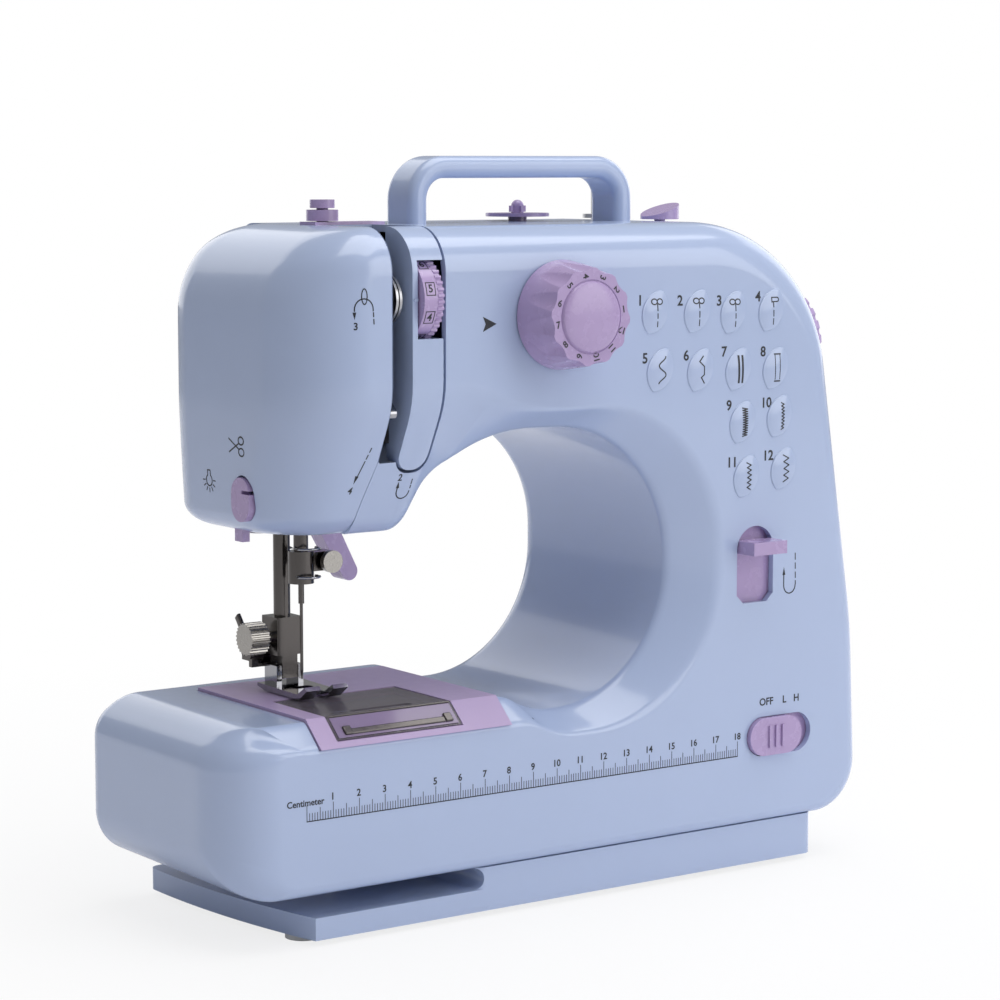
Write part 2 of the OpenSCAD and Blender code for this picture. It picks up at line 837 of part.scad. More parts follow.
module needle_plate() {
    color(lilac)
        placed()
            difference() {
                to_right(plate_x0 + gap, needle_plate_len - 2 * gap)
                    sheet_section(needle_plate_depth - gap, plate_top,
                        bed_top - bed_chamfer_h + gap, sheet_t + 1);
                box(cover_x0, -1, cover_lip_z, cover_x1, cover_back_y, plate_top + 1);
                translate([needle_x - slit_w / 2, needle_y - 2, bed_top - 5])
                    linear_extrude(10)
                        rounded_rect(slit_w, 4, 1.9);
                for (x = feed_rows)
                    box(x - 1.5, feed_y0, bed_top - 5, x + 1.5, feed_y1, plate_top + 1);
            }
}

module bobbin_cover() {
    grip_w = 3;
    color(smoke)
        placed()
            difference() {
                to_right(cover_x0 + gap, bobbin_cover_len - 2 * gap)
                    sheet_section(cover_back_y - gap, plate_top - 0.2, cover_lip_z + gap, 1.6);
                translate([(cover_x0 + cover_x1) / 2 - 12, 12, plate_top - 0.8])
                    linear_extrude(2)
                        rounded_rect(24, grip_w, 1.4);
            }
}

feed_rows = [needle_x - 5, needle_x + 5];
feed_y0 = needle_y - 5;
feed_y1 = needle_y + 15;

module feed_dog() {
    teeth = 7;
    pitch = 2;
    y0 = feed_y0 + 4;
    bridge_y0 = needle_y + 3;
    color(steel)
        placed()
            union() {
                for (x = feed_rows)
                    to_right(x - 1, 2)
                        polygon(concat(
                            [[y0, bed_top - 5], [y0, plate_top - 0.9]],
                            [for (i = [0:teeth - 1], q = [[0.3, 0.7], [1, 0]])
                                [y0 + (i + q.x) * pitch, plate_top - 0.9 + q.y]],
                            [[y0 + teeth * pitch, bed_top - 5]]));
                box(feed_rows[0] - 1, bridge_y0, bed_top - 8, feed_rows[1] + 1, y0 + teeth * pitch, bed_top - 5);
            }
}

hook_wall = 2.2;
hook_h = 15;
case_r = hook_r - hook_wall - gap;
bobbin_z = hook_bottom + 5.4;
bobbin_h = 11.7;

module rotary_hook() {
    color(steel)
        placed()
            difference() {
                rod_z(hook_x, hook_y, hook_bottom, hook_h, hook_r);
                rod_z(hook_x, hook_y, hook_bottom + 2.5, hook_h, hook_r - hook_wall);
                rotate_about([hook_x, hook_y, 0], 60)
                    box(hook_x + hook_r - 5, hook_y, hook_bottom + 8,
                        hook_x + hook_r + 2, hook_y + 9, hook_bottom + hook_h + 1);
            }
}

module hook_gear() {
    color(steel)
        placed()
            union() {
                rod_z(hook_x, hook_y, lower_shaft_z - 6, hook_bottom - lower_shaft_z + 6, lower_shaft_r);
                translate([hook_x, hook_y, lower_shaft_z - 4])
                    linear_extrude(8)
                        gear_outline(hook_gear_r, 14, 1.2);
            }
}

module bobbin_case() {
    color(dark)
        placed()
            difference() {
                union() {
                    rod_z(hook_x, hook_y, hook_bottom + 2.8, 14, case_r);
                    box(hook_x + case_r - 3, hook_y - 5, hook_bottom + hook_h + gap,
                        hook_x + case_r + 1, hook_y + 5, hook_bottom + 16.8);
                }
                rod_z(hook_x, hook_y, hook_bottom + 5, 20, bobbin_r + 0.8);
            }
}

module bobbin() {
    flange = 1;
    core_r = 4;
    color(white)
        placed()
            difference() {
                union() {
                    for (z = [bobbin_z, bobbin_z + bobbin_h - flange])
                        rod_z(hook_x, hook_y, z, flange, bobbin_r);
                    rod_z(hook_x, hook_y, bobbin_z, bobbin_h, core_r);
                }
                rod_z(hook_x, hook_y, bobbin_z - 1, bobbin_h + 2, core_r - 1);
                for (a = [0:60:300])
                    rotate_about([hook_x, hook_y, 0], a)
                        rod_z(hook_x + 7.2, hook_y, bobbin_z - 1, bobbin_h + 2, 1.4);
            }
}

// ---- Front controls ------------------------------------------------------------

module stitch_dial() {
    flutes = 12;
    rim = stitch_dial_r - 1.5;
    front = -stitch_dial_h;
    color(lilac)
        placed()
            difference() {
                translate([stitch_x, 0, stitch_z])
                    rotate([90, 0, 0])
                        rotate_extrude()
                            polygon([[0, gap], [stitch_dial_r, gap], [stitch_dial_r, 3],
                                [rim, stitch_dial_h - 2], [rim - 2, stitch_dial_h],
                                [12.5, stitch_dial_h], [11, stitch_dial_h + 1.5],
                                [6, stitch_dial_h + 2], [0, stitch_dial_h + 2]]);
                for (i = [0:flutes - 1])
                    let (a = i * 360 / flutes)
                    rod_y(stitch_x + (rim + 1.2) * cos(a), front - 3,
                        stitch_z + (rim + 1.2) * sin(a), stitch_dial_h - 1, 2.6);
            }
}

module stitch_cam() {
    lobes = 6;
    color(white)
        placed()
            union() {
                rod_y(stitch_x, -gap, stitch_z, 8, 6);
                for (i = [0:2])
                    to_back(6 + i * 4, 3)
                        translate([stitch_x, stitch_z])
                            polygon([for (a = [0:10:350])
                                (11.5 + 1.5 * cos(lobes * a + i * 40)) * [cos(a), sin(a)]]);
                rod_y(stitch_x, 6, stitch_z, 14, 6);
            }
}

module tension_dial() {
    color(lilac)
        placed()
            difference() {
                union() {
                    rod_x(tension_x0, tension_y, tension_z, 5.2, tension_dial_r - 0.3);
                    to_right(tension_x0 + 5.2, tension_w - 5.2)
                        translate([tension_y, tension_z])
                            gear_outline(tension_dial_r, 40, 0.7);
                }
                rod_x(tension_x0 - 1, tension_y, tension_z, tension_w + 2, 2 + run_fit);
            }
}

// The spindle with the two discs that squeeze the thread
module tension_discs() {
    color(steel)
        placed()
            union() {
                rod_x(groove_x0 + 0.5, tension_y, tension_z, strip_x1 - groove_x0 + 2, 2);
                for (x = [groove_x0 + 3.4, groove_x0 + 4.8])
                    rod_x(x, tension_y, tension_z, 0.9, 8);
            }
}

take_up_y = seam_y - 22;
take_up_z = shaft_z + 4.5;
take_up_x = groove_x0 + 2.1;
take_up_t = 2.5;
take_up_eye = [6.4, shaft_z - 13.5];

module take_up_lever() {
    hub_r = 4;
    eye_r = 3;
    color(steel)
        placed()
            difference() {
                to_right(take_up_x, take_up_t)
                    difference() {
                        hull() {
                            translate([take_up_y, take_up_z])
                                circle(hub_r - 1, $fn = 32);
                            translate(take_up_eye)
                                circle(eye_r - 1, $fn = 32);
                        }
                        translate(take_up_eye)
                            circle(1);
                    }
                rod_x(take_up_x - 1, take_up_y, take_up_z, take_up_t + 2, 1.5 + run_fit);
            }
}

module reverse_lever() {
    tab_z = reverse_z + 6.6;
    slot_top = reverse_z + reverse_h / 2;
    color(lilac)
        placed()
            union() {
                box(reverse_x - reverse_w / 2 - 3, wall + gap, reverse_z - reverse_h / 2 - 4,
                    reverse_x + reverse_w / 2 + 3, wall + gap + 2, slot_top + 14);
                box(reverse_x - reverse_w / 2 + 0.8, -8.5, tab_z - 2.3,
                    reverse_x + reverse_w / 2 - 0.8, wall + gap + 1, tab_z + 2.3);
            }
}

module power_switch() {
    slider_x = power_x - power_travel / 2;
    color(lilac)
        placed()
            union() {
                to_back(-1.8, wall + 1.8 + gap + 0.5)
                    translate([slider_x - power_slider_len / 2, power_z - power_slot_h / 2 + gap])
                        rounded_rect(power_slider_len, power_slot_h - 2 * gap, 6.8);
                box(slider_x - 20, wall + gap, power_z - 10, slider_x + 20, wall + gap + 2, power_z + 10);
                for (i = [-1:1])
                    to_back(-2.6, 1)
                        translate([slider_x + i * 3 - 0.6, power_z - 4])
                            square([1.2, 8]);
            }
}

module light_switch() {
    color(lilac)
        placed()
            union() {
                box(switch_x, switch_y, head_bottom - 3.6,
                    switch_x + switch_w, switch_y + switch_len, head_bottom + wall + 2);
                box(switch_x - 1, switch_y - 1, head_bottom + wall + gap + 1.2,
                    switch_x + switch_w, switch_y + switch_len + 1, head_bottom + wall + 3.5);
            }
}

module thread_cutter() {
    nick_w = 1.2;
    color(lilac)
        placed()
            difference() {
                cutter_pad(0);
                translate([head_left, cutter_y - cutter_w / 2, cutter_z + 2])
                    cube([5, cutter_w / 2 - 1, nick_w]);
            }
}

// ---- Top -----------------------------------------------------------------------

module spool_pin() {
    fin_w = 6.6;
    fin_t = 1.2;
    color(lilac)
        placed()
            translate([spool_x, spool_y, top_z])
                union() {
                    rod_z(0, 0, -34, 39.2, spool_pin_r);
                    for (a = [0, 90])
                        rotate([0, 0, a])
                            translate([-fin_w / 2, -fin_t / 2, 3.2])
                                cube([fin_w, fin_t, 2.2]);
                    translate([0, 0, 5.2])
                        sphere(spool_pin_r);
                }
}

module spool_disc() {
    disc_r = 11.4;
    color(lilac)
        placed()
            translate([spool_x, spool_y, top_z])
                difference() {
                    union() {
                        rod_z(0, 0, 1.6, 1.2, disc_r);
                        rod_z(0, 0, -5.8, 8, spool_stem_r);
                    }
                    rod_z(0, 0, -7, 12, spool_pin_r + run_fit);
                }
}

module pretension_guide() {
    color(steel)
        placed()
            union() {
                box(guide_x - 5.8, seam_y - 5, top_z, guide_x + guide_plate_w, seam_y + 5, top_z + 1);
                rod_z(guide_x, seam_y, top_z + 1, 7.3, 2);
                rod_z(guide_x, seam_y, top_z + 1.3, 3.7, 5.4);
                rod_z(guide_x, seam_y, top_z + 5.6, 2.8, 4.2);
            }
}

module bobbin_spindle() {
    color(steel)
        placed()
            union() {
                rod_z(spindle_x, spindle_y, top_z - 14, 26, spindle_r);
                rod_z(spindle_x, spindle_y, top_z + 0.6, 1.4, 6);
            }
}

module winder_stop() {
    color(lilac)
        placed()
            union() {
                rod_z(winder_stop_x, seam_y, top_z - 9, 10, 2);
                difference() {
                    rod_z(winder_stop_x, seam_y, top_z + gap, 6, winder_seat_r - 1);
                    translate([winder_stop_x - winder_seat_r, seam_y - 10, top_z + 1])
                        rotate([0, -19, 0])
                            cube([24, 20, 10]);
                }
            }
}

// ---- Head mechanism --------------------------------------------------------------

bar_rest_z = bed_top + 40;
bar_top_z = shaft_z + 34;
shelf_z = shaft_z + 6.5;
shelf_t = 6;
low_shelf_z = head_bottom + wall + 0.2;
low_shelf_t = 4.5;
frame_x0 = needle_x - 5.9;
frame_x1 = needle_x + 6;

module head_frame() {
    back_y = presser_y + 11;
    color(dark)
        placed()
            difference() {
                union() {
                    box(frame_x0 + 3, back_y, low_shelf_z, frame_x1, back_y + 4, top_z - wall - 0.8);
                    box(frame_x0, take_up_y - 4, shelf_z, frame_x1 - 2, back_y + 1, shelf_z + shelf_t);
                    box(frame_x0, needle_y - 5, low_shelf_z, frame_x1, back_y + 1,
                        low_shelf_z + low_shelf_t);
                    box(frame_x1 - 5, take_up_y - 4, shelf_z - 6, frame_x1 - 2, take_up_y + 4, shelf_z + 1);
                    rod_x(frame_x1 - 3, take_up_y, take_up_z, take_up_x + take_up_t + 0.6 - frame_x1 + 3, 1.5);
                }
                rod_z(needle_x, needle_y, head_bottom, head_h, needle_r + run_fit);
                rod_z(needle_x, presser_y, head_bottom, head_h, presser_r + run_fit);
            }
}

// Where the crank pin and the rod's lower eye are while the needle bar rests
crank_lift = 4.3;
crank_angle = asin(crank_lift / crank_r);
pin_y = seam_y + crank_r * cos(crank_angle);
pin_z = shaft_z + crank_lift;
rod_tilt = asin((pin_y - needle_y) / rod_len);
rod_end_z = pin_z - rod_len * cos(rod_tilt);
crank_pin_r = 2;
stud_r = 1.5;

module needle_bar() {
    color(steel)
        placed()
            union() {
                rod_z(needle_x, needle_y, bar_rest_z, bar_top_z - bar_rest_z, needle_r);
                rod_z(needle_x, needle_y, rod_end_z - 3, 6, needle_r + 2);
                rod_x(needle_x + needle_r, needle_y, rod_end_z, rod_x + rod_t - needle_x - needle_r, stud_r);
            }
}

module connecting_rod() {
    eye_r = 3.5;
    color(steel)
        placed()
            translate([rod_x, needle_y, rod_end_z])
                rotate([-rod_tilt, 0, 0])
                    difference() {
                        union() {
                            rod_x(0, 0, 0, rod_t, eye_r);
                            rod_x(0, 0, rod_len, rod_t, eye_r);
                            box(0, -2, 0, rod_t, 2, rod_len);
                        }
                        rod_x(-1, 0, 0, rod_t + 2, stud_r + run_fit);
                        rod_x(-1, 0, rod_len, rod_t + 2, crank_pin_r + run_fit);
                    }
}

module crank_disc() {
    disc_t = 4;
    pin_end = rod_x + rod_t + gap;
    color(steel)
        placed()
            union() {
                rod_x(crank_x, seam_y, shaft_z, disc_t, crank_r + 4);
                rod_x(pin_end, pin_y, pin_z, crank_x - pin_end + 1, crank_pin_r);
            }
}

module needle_clamp() {
    color(steel)
        placed()
            difference() {
                union() {
                    rod_z(needle_x, needle_y, bar_rest_z - 1, 11, needle_r + 1.9);
                    box(needle_x, needle_y - 3, bar_rest_z + 3, needle_x + 11, needle_y + 3, bar_rest_z + 9.5);
                }
                rod_z(needle_x, needle_y, bar_rest_z, 12, needle_r);
                rod_z(needle_x, needle_y, bar_rest_z - 3, 12, 1);
            }
}

module clamp_screw() {
    color(steel)
        placed()
            union() {
                rod_y(needle_x + 8.6, needle_y - 4.6, bar_rest_z + 6.3, 1.6, 1.5);
                rod_y(needle_x + 8.6, needle_y - 6.8, bar_rest_z + 6.3, 2.2, 3.8);
            }
}

needle_tip_z = plate_top + 5;

module needle() {
    blade_r = 0.45;
    color(steel)
        placed()
            union() {
                rod_z(needle_x, needle_y, bar_rest_z - 8, 8, 1);
                rod_z(needle_x, needle_y, needle_tip_z + 3, bar_rest_z - 8 - needle_tip_z - 3, blade_r + 0.1);
                translate([needle_x, needle_y, needle_tip_z])
                    cylinder(h = 3, r1 = 0.1, r2 = blade_r + 0.1);
            }
}

foot_z = plate_top + 0.3;
holder_z = foot_z + 22;
ankle_z = foot_z + 6;
ankle_y = presser_y - 1;

module presser_bar() {
    color(steel)
        placed()
            union() {
                rod_z(needle_x, presser_y, holder_z, shelf_z + shelf_t + 14 - holder_z, presser_r);
                rod_z(needle_x, presser_y, lifter_z + lifter_r + gap, 5, presser_r + 3);
                box(needle_x, presser_y - 3, lifter_z + lifter_r + gap,
                    lifter_x + 2, lifter_y0 + 5, lifter_z + lifter_r + gap + 4);
            }
}

spring_z = lifter_z + lifter_r + 5.5;

module presser_spring() {
    turns = 6;
    wire_r = 0.6;
    coil_r = presser_r + 1.3;
    length = 24;
    sides = 6;
    steps = 14;
    rings = turns * steps;
    color(steel)
        placed()
            translate([needle_x, presser_y, spring_z])
                polyhedron(
                    points = [for (i = [0:rings], j = [0:sides - 1])
                        let (
                            a = i * 360 / steps,
                            b = j * 360 / sides,
                            rr = coil_r + wire_r * cos(b)
                        )
                        [rr * cos(a), rr * sin(a), wire_r + length * i / rings + wire_r * sin(b)]],
                    faces = concat(
                        [[for (j = [0:sides - 1]) j]],
                        [reversed([for (j = [0:sides - 1]) rings * sides + j])],
                        [for (i = [0:rings - 1], j = [0:sides - 1], upper = [0, 1])
                            let (a = i * sides + j, b = i * sides + (j + 1) % sides)
                            upper == 0 ? [a, b + sides, b] : [a, a + sides, b + sides]]),
                    convexity = 10);
}

module foot_holder() {
    color(steel)
        placed()
            difference() {
                union() {
                    box(needle_x - 5, presser_y - 5, holder_z - 10, needle_x + 5, presser_y + 5, holder_z + 3);
                    box(needle_x - 3, ankle_y - 4, ankle_z - 2, needle_x + 3, ankle_y + 4, holder_z - 9);
                }
                rod_z(needle_x, presser_y, holder_z, 5, presser_r);
                rod_x(needle_x - 6, ankle_y, ankle_z, 12, 1.5 + run_fit);
            }
}

module foot_screw() {
    color(steel)
        placed()
            union() {
                rod_x(needle_x - 8, presser_y, holder_z - 4, 3, 1.8);
                to_right(needle_x - 15, 7)
                    translate([presser_y, holder_z - 4])
                        gear_outline(5.6, 24, 0.5);
            }
}

module release_lever() {
    color(dark)
        placed()
            union() {
                box(needle_x - 9, presser_y + 5.3, ankle_z + 1, needle_x + 4, presser_y + 7.3, ankle_z + 9);
                rod_x(needle_x - 9.6, presser_y + 6.3, ankle_z + 5, 14, 1.2);
                box(needle_x - 9, presser_y + 5.3, ankle_z + 3, needle_x - 7, presser_y + 12, ankle_z + 7);
            }
}

module presser_foot() {
    toe_y = ankle_y - 28;
    heel_y = ankle_y + 4;
    x0 = needle_x - presser_foot_w / 2;
    color(steel)
        placed()
            union() {
                difference() {
                    to_right(x0, presser_foot_w)
                        polygon([[toe_y, foot_z + 3.6], [toe_y + 5, foot_z], [ankle_y - 1, foot_z], [heel_y, foot_z + 1.1],
                            [heel_y, foot_z + 2.2], [toe_y + 6, foot_z + 1.8],
                            [toe_y + 1, foot_z + 4.8]]);
                    box(needle_x - 2.5, toe_y - 1, foot_z - 1, needle_x + 2.5, needle_y - 5, foot_z + 6);
                    translate([needle_x - 4, needle_y - 2, foot_z - 1])
                        linear_extrude(4)
                            rounded_rect(8, 4, 1.9);
                }
                for (x = [needle_x - 5.3, needle_x + 3.3])
                    box(x, ankle_y - 4, foot_z + 1, x + 2, ankle_y + 4, ankle_z + 2.5);
                rod_x(needle_x - 5, ankle_y, ankle_z, 10, 1.5);
            }
}

lifter_end = [throat_end_x + 8.8, bed_top + 38.5];

module presser_lifter() {
    color(lilac)
        placed()
            union() {
                to_back(lifter_y0, lifter_t)
                    union() {
                        translate([lifter_x, lifter_z])
                            circle(lifter_r);
                        hull() {
                            translate([lifter_x, lifter_z])
                                circle(4, $fn = 32);
                            translate(lifter_end)
                                circle(3.2, $fn = 32);
                        }
                    }
                rod_y(lifter_x, lifter_y0 + lifter_t, lifter_z, body_depth - 4 - lifter_y0 - lifter_t, 2.5);
            }
}

module lamp_lens() {
    color(white)
        placed()
            rod_z(lamp_x, lamp_y, head_bottom - 1, wall + 2, lamp_r);
}

// ---- Drive -----------------------------------------------------------------------

module handwheel() {
    flutes = 24;
    color(lilac)
        placed()
            difference() {
                union() {
                    rod_x(wheel_x, seam_y, shaft_z, handwheel_w - 2, handwheel_r);
                    rod_x(wheel_x + handwheel_w - 2, seam_y, shaft_z, 2, handwheel_r - 3);
                    rod_x(wheel_x - 2.3, seam_y, shaft_z, 3, 7);
                }
                for (i = [0:flutes - 1])
                    let (a = i * 360 / flutes)
                    rod_x(wheel_x + 3, seam_y + (handwheel_r + 0.6) * cos(a),
                        shaft_z + (handwheel_r + 0.6) * sin(a), handwheel_w - 5, 1.5);
                rod_x(wheel_x - 5, seam_y, shaft_z, 14, shaft_r);
            }
}

module main_shaft() {
    color(steel)
        placed()
            rod_x(crank_x + 4, seam_y, shaft_z, wheel_x + 9 - crank_x - 4, shaft_r);
}

drive_pulley_r = 20;
timing_r = 12;
motor_pulley_r = 5;
lower_pulley_r = 6;
belt_t = 1.6;
pulley_w = 8;
timing_w = 6;

module pulley(x, y, z, r, width, bore) {
    difference() {
        union() {
            rod_x(x, y, z, width, r);
            for (e = [x - 1, x + width])
                rod_x(e, y, z, 1, r + 2);
        }
        rod_x(x - 2, y, z, width + 4, bore);
    }
}

module drive_pulley() {
    color(dark)
        placed()
            pulley(drive_pulley_x, seam_y, shaft_z, drive_pulley_r - 3, pulley_w, shaft_r);
}

module timing_pulley() {
    color(dark)
        placed()
            pulley(timing_pulley_x, seam_y, shaft_z, timing_r, timing_w, shaft_r);
}

module motor_can() {
    color(steel)
        placed()
            difference() {
                union() {
                    rod_x(motor_x, seam_y, motor_z, motor_len, motor_r);
                    rod_x(motor_x + motor_len, seam_y, motor_z, 1.5, 5);
                    box(motor_x + 4, seam_y - 8, motor_z, motor_x + 28, body_depth - wall, motor_z + 8);
                }
                rod_x(motor_x + motor_len - 4, seam_y, motor_z, 8, 1.5 + run_fit);
            }
}

module motor_pulley() {
    color(dark)
        placed()
            union() {
                rod_x(motor_x + motor_len - 3.8, seam_y, motor_z,
                    drive_pulley_x - motor_x - motor_len + 4, 1.5);
                pulley(drive_pulley_x, seam_y, motor_z, motor_pulley_r, pulley_w, 1);
            }
}

module belt(x0, width, p, pr, q, qr) {
    to_right(x0, width)
        difference() {
            belt_outline(p, pr + gap + belt_t, q, qr + gap + belt_t);
            belt_outline(p, pr + gap, q, qr + gap);
        }
}

module drive_belt() {
    color(dark)
        placed()
            belt(drive_pulley_x + gap, pulley_w - 2 * gap, [seam_y, shaft_z], drive_pulley_r - 3,
                [seam_y, motor_z], motor_pulley_r);
}

module timing_belt() {
    color(dark)
        placed()
            belt(timing_pulley_x + gap, timing_w - 2 * gap, [seam_y, shaft_z], timing_r,
                [lower_shaft_y, lower_shaft_z], lower_pulley_r);
}

module lower_shaft() {
    color(steel)
        placed()
            rod_x(hook_x - 10, lower_shaft_y, lower_shaft_z, timing_pulley_x + timing_w + 6 - hook_x + 10,
                lower_shaft_r);
}

module lower_gear() {
    color(steel)
        placed()
            difference() {
                to_right(hook_x - 7, 14)
                    translate([lower_shaft_y, lower_shaft_z])
                        gear_outline(hook_gear_r, 14, 1.2);
                rod_x(hook_x - 8, lower_shaft_y, lower_shaft_z, 16, lower_shaft_r);
            }
}

module lower_pulley() {
    color(dark)
        placed()
            pulley(timing_pulley_x, lower_shaft_y, lower_shaft_z, lower_pulley_r, timing_w, lower_shaft_r);
}

bed_bearings = [hook_x + 15, timing_pulley_x - 12];
arm_bearings = [stitch_x - 35, timing_pulley_x - 12];
bearing_t = 6;

module shaft_bearings() {
    color(dark)
        placed()
            difference() {
                union() {
                    for (x = bed_bearings)
                        box(x, lower_shaft_y - 7, bed_bottom + wall, x + bearing_t, lower_shaft_y + 7,
                            lower_shaft_z + 6);
                    for (x = arm_bearings)
                        box(x, seam_y - 8, shaft_z - 8, x + bearing_t, seam_y + 8, top_z - wall);
                }
                rod_x(bed_bearings[0] - 1, lower_shaft_y, lower_shaft_z, body_len, lower_shaft_r + run_fit);
                rod_x(arm_bearings[0] - 1, seam_y, shaft_z, body_len, shaft_r + run_fit);
            }
}

// ---- Electrics and fasteners ------------------------------------------------------

module jack(x, bore) {
    difference() {
        union() {
            rod_y(x, body_depth - 12, jack_z, 12.3, jack_r);
            box(x - 6, body_depth - 16, jack_z - 6, x + 6, body_depth - wall - gap, jack_z + 6);
        }
        rod_y(x, body_depth - 11, jack_z, 14, bore);
    }
}

module power_jack() {
    color(dark)
        placed()
            jack(jack_x, 2.75);
}

module pedal_jack() {
    color(dark)
        placed()
            jack(jack_x + jack_pitch, 1.8);
}

module circuit_board() {
    color([0.1, 0.4, 0.25])
        placed()
            union() {
                box(throat_reach + 4, 20, bed_bottom + wall, throat_reach + 56, 76, bed_bottom + wall + 1.6);
                for (x = [throat_reach + 10, throat_reach + 28], y = [30, 50])
                    box(x, y, bed_bottom + wall + 1.6, x + 8, y + 8, bed_bottom + wall + 4);
            }
}

screw_spots = [[throat_reach + 22, top_z - 50], [throat_reach + 60, bed_top + 5],
    [throat_reach - 20, top_z - 35], [throat_reach - 110, bed_bottom + 20]];

module housing_screws() {
    color(steel)
        placed()
            for (p = screw_spots)
                difference() {
                    rod_y(p.x, body_depth, p.y, 1.6, 3.2);
                    box(p.x - 2.2, body_depth + 0.8, p.y - 0.4, p.x + 2.2, body_depth + 2, p.y + 0.4);
                    box(p.x - 0.4, body_depth + 0.8, p.y - 2.2, p.x + 0.4, body_depth + 2, p.y + 2.2);
                }
}

front_housing();
rear_housing();
head_cover();
thread_channel();
guide_strip();
base_tray();
rubber_feet();
carry_handle();
needle_plate();
bobbin_cover();
feed_dog();
rotary_hook();
hook_gear();
bobbin_case();
bobbin();
stitch_dial();
stitch_cam();
tension_dial();
tension_discs();
take_up_lever();
reverse_lever();
power_switch();
handwheel();
main_shaft();
crank_disc();
drive_pulley();
timing_pulley();
connecting_rod();
motor_can();
motor_pulley();
drive_belt();
timing_belt();
lower_shaft();
lower_gear();
lower_pulley();
shaft_bearings();
head_frame();
needle_bar();
needle_clamp();
clamp_screw();
needle();
presser_bar();
presser_spring();
foot_holder();
foot_screw();
release_lever();
presser_foot();
presser_lifter();
thread_cutter();
light_switch();
lamp_lens();
spool_pin();
spool_disc();
pretension_guide();
bobbin_spindle();
winder_stop();
power_jack();
pedal_jack();
circuit_board();
housing_screws();
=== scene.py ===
import math

import bmesh
import bpy
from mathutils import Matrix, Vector
from mathutils.bvhtree import BVHTree


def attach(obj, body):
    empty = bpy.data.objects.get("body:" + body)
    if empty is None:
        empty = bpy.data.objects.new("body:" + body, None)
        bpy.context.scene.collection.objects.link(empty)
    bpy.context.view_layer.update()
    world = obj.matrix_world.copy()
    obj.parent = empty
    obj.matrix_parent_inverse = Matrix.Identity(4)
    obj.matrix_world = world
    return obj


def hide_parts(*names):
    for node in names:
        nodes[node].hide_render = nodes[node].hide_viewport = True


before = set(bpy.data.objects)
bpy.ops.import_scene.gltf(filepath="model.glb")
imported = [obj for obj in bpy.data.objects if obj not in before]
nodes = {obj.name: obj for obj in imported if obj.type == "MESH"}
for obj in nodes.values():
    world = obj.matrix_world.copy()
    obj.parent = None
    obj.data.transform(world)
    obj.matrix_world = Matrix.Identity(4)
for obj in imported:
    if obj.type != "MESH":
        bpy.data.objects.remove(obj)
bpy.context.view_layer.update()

# ---------------------------------------------------------------- measures, in machine millimetres
# x runs from the bed's left end to the handwheel, y from the front to the back, z up from the table.
CX, CY = 136.75, 39.5  # the shared frame's origin
DEPTH, SEAM, WALL = 98.0, 49.0, 2.4
BED_BOTTOM, BED_TOP = 17.0, 73.0
HEAD_LEFT, HEAD_BOTTOM, HEAD_END, TOP = 29.0, 131.0, 79.0, 232.5
CREASE, LEAN = 174.5, 21.0  # below the crease the head's front leans back, by LEAN at its foot
TURN_R = 22.0  # the head's upright corner at the front left
THROAT_X, THROAT_Z0, THROAT_Z1, THROAT_R = 183.0, 66.5, 163.0, 47.0
THROAT_BEVEL = 7.5
SIDE_X, BEND_X, BEND_Z, BODY = 244.0, 266.0, 85.0, 269.0
GROOVE0, GROOVE1 = 62.5, 69.5
STRIP0, STRIP1, STRIP_Z = 70.5, 82.5, 152.5
DIAL_X, DIAL_Z = 130.0, 202.5
TENSION_X, TENSION_Y, TENSION_Z, TENSION_R = 73.1, 10.5, 209.0, 14.0
POWER_X, POWER_Z = 228.4, 48.4
REVERSE_X, REVERSE_Z = 216.4, 111.2
SHAFT_Z = 185.5
COVER0, COVER1 = 41.5, 91.0  # the bobbin cover's sides
SLOPE_Y, SLOPE_Z, SLOPE_DROP = 9.0, 74.0, 8.0  # the needle plate's front slope, from its top
NEEDLE_X, NEEDLE_Y = 57.4, 49.0


def P(x, y, z):
    """A point of the shared frame in metres, from machine millimetres."""
    return Vector(((x - CX) / 1000, (y - CY) / 1000, z / 1000))


# ---------------------------------------------------------------- materials
def new_material(name):
    m = bpy.data.materials.new(name)
    m.use_nodes = True
    return m, m.node_tree, m.node_tree.nodes["Principled BSDF"]


def add_node(tree, kind, **values):
    """A node with constant values on its inputs, whose names are written with _ for a space."""
    node = tree.nodes.new("ShaderNode" + kind)
    for socket, value in values.items():
        node.inputs[socket.replace("_", " ")].default_value = value
    return node


def noise(tree, scale, detail=2.0, vector=None):
    node = add_node(tree, "TexNoise", Scale=scale, Detail=detail)
    if vector is not None:
        tree.links.new(vector, node.inputs["Vector"])
    return node.outputs["Fac"]


def color_between(tree, shader, factor, low, high, start=0.0, end=1.0):
    ramp = add_node(tree, "ValToRGB")
    for i, (position, color) in enumerate(((start, low), (end, high))):
        ramp.color_ramp.elements[i].position = position
        ramp.color_ramp.elements[i].color = [*color, 1]
    tree.links.new(factor, ramp.inputs["Fac"])
    tree.links.new(ramp.outputs["Color"], shader.inputs["Base Color"])


def roughness_between(tree, shader, factor, low, high):
    spread = add_node(tree, "MapRange", To_Min=low, To_Max=high)
    tree.links.new(factor, spread.inputs["Value"])
    tree.links.new(spread.outputs["Result"], shader.inputs["Roughness"])


def relief(tree, shader, height, strength, distance):
    bump = add_node(tree, "Bump", Strength=strength, Distance=distance)
    tree.links.new(height, bump.inputs["Height"])
    tree.links.new(bump.outputs["Normal"], shader.inputs["Normal"])


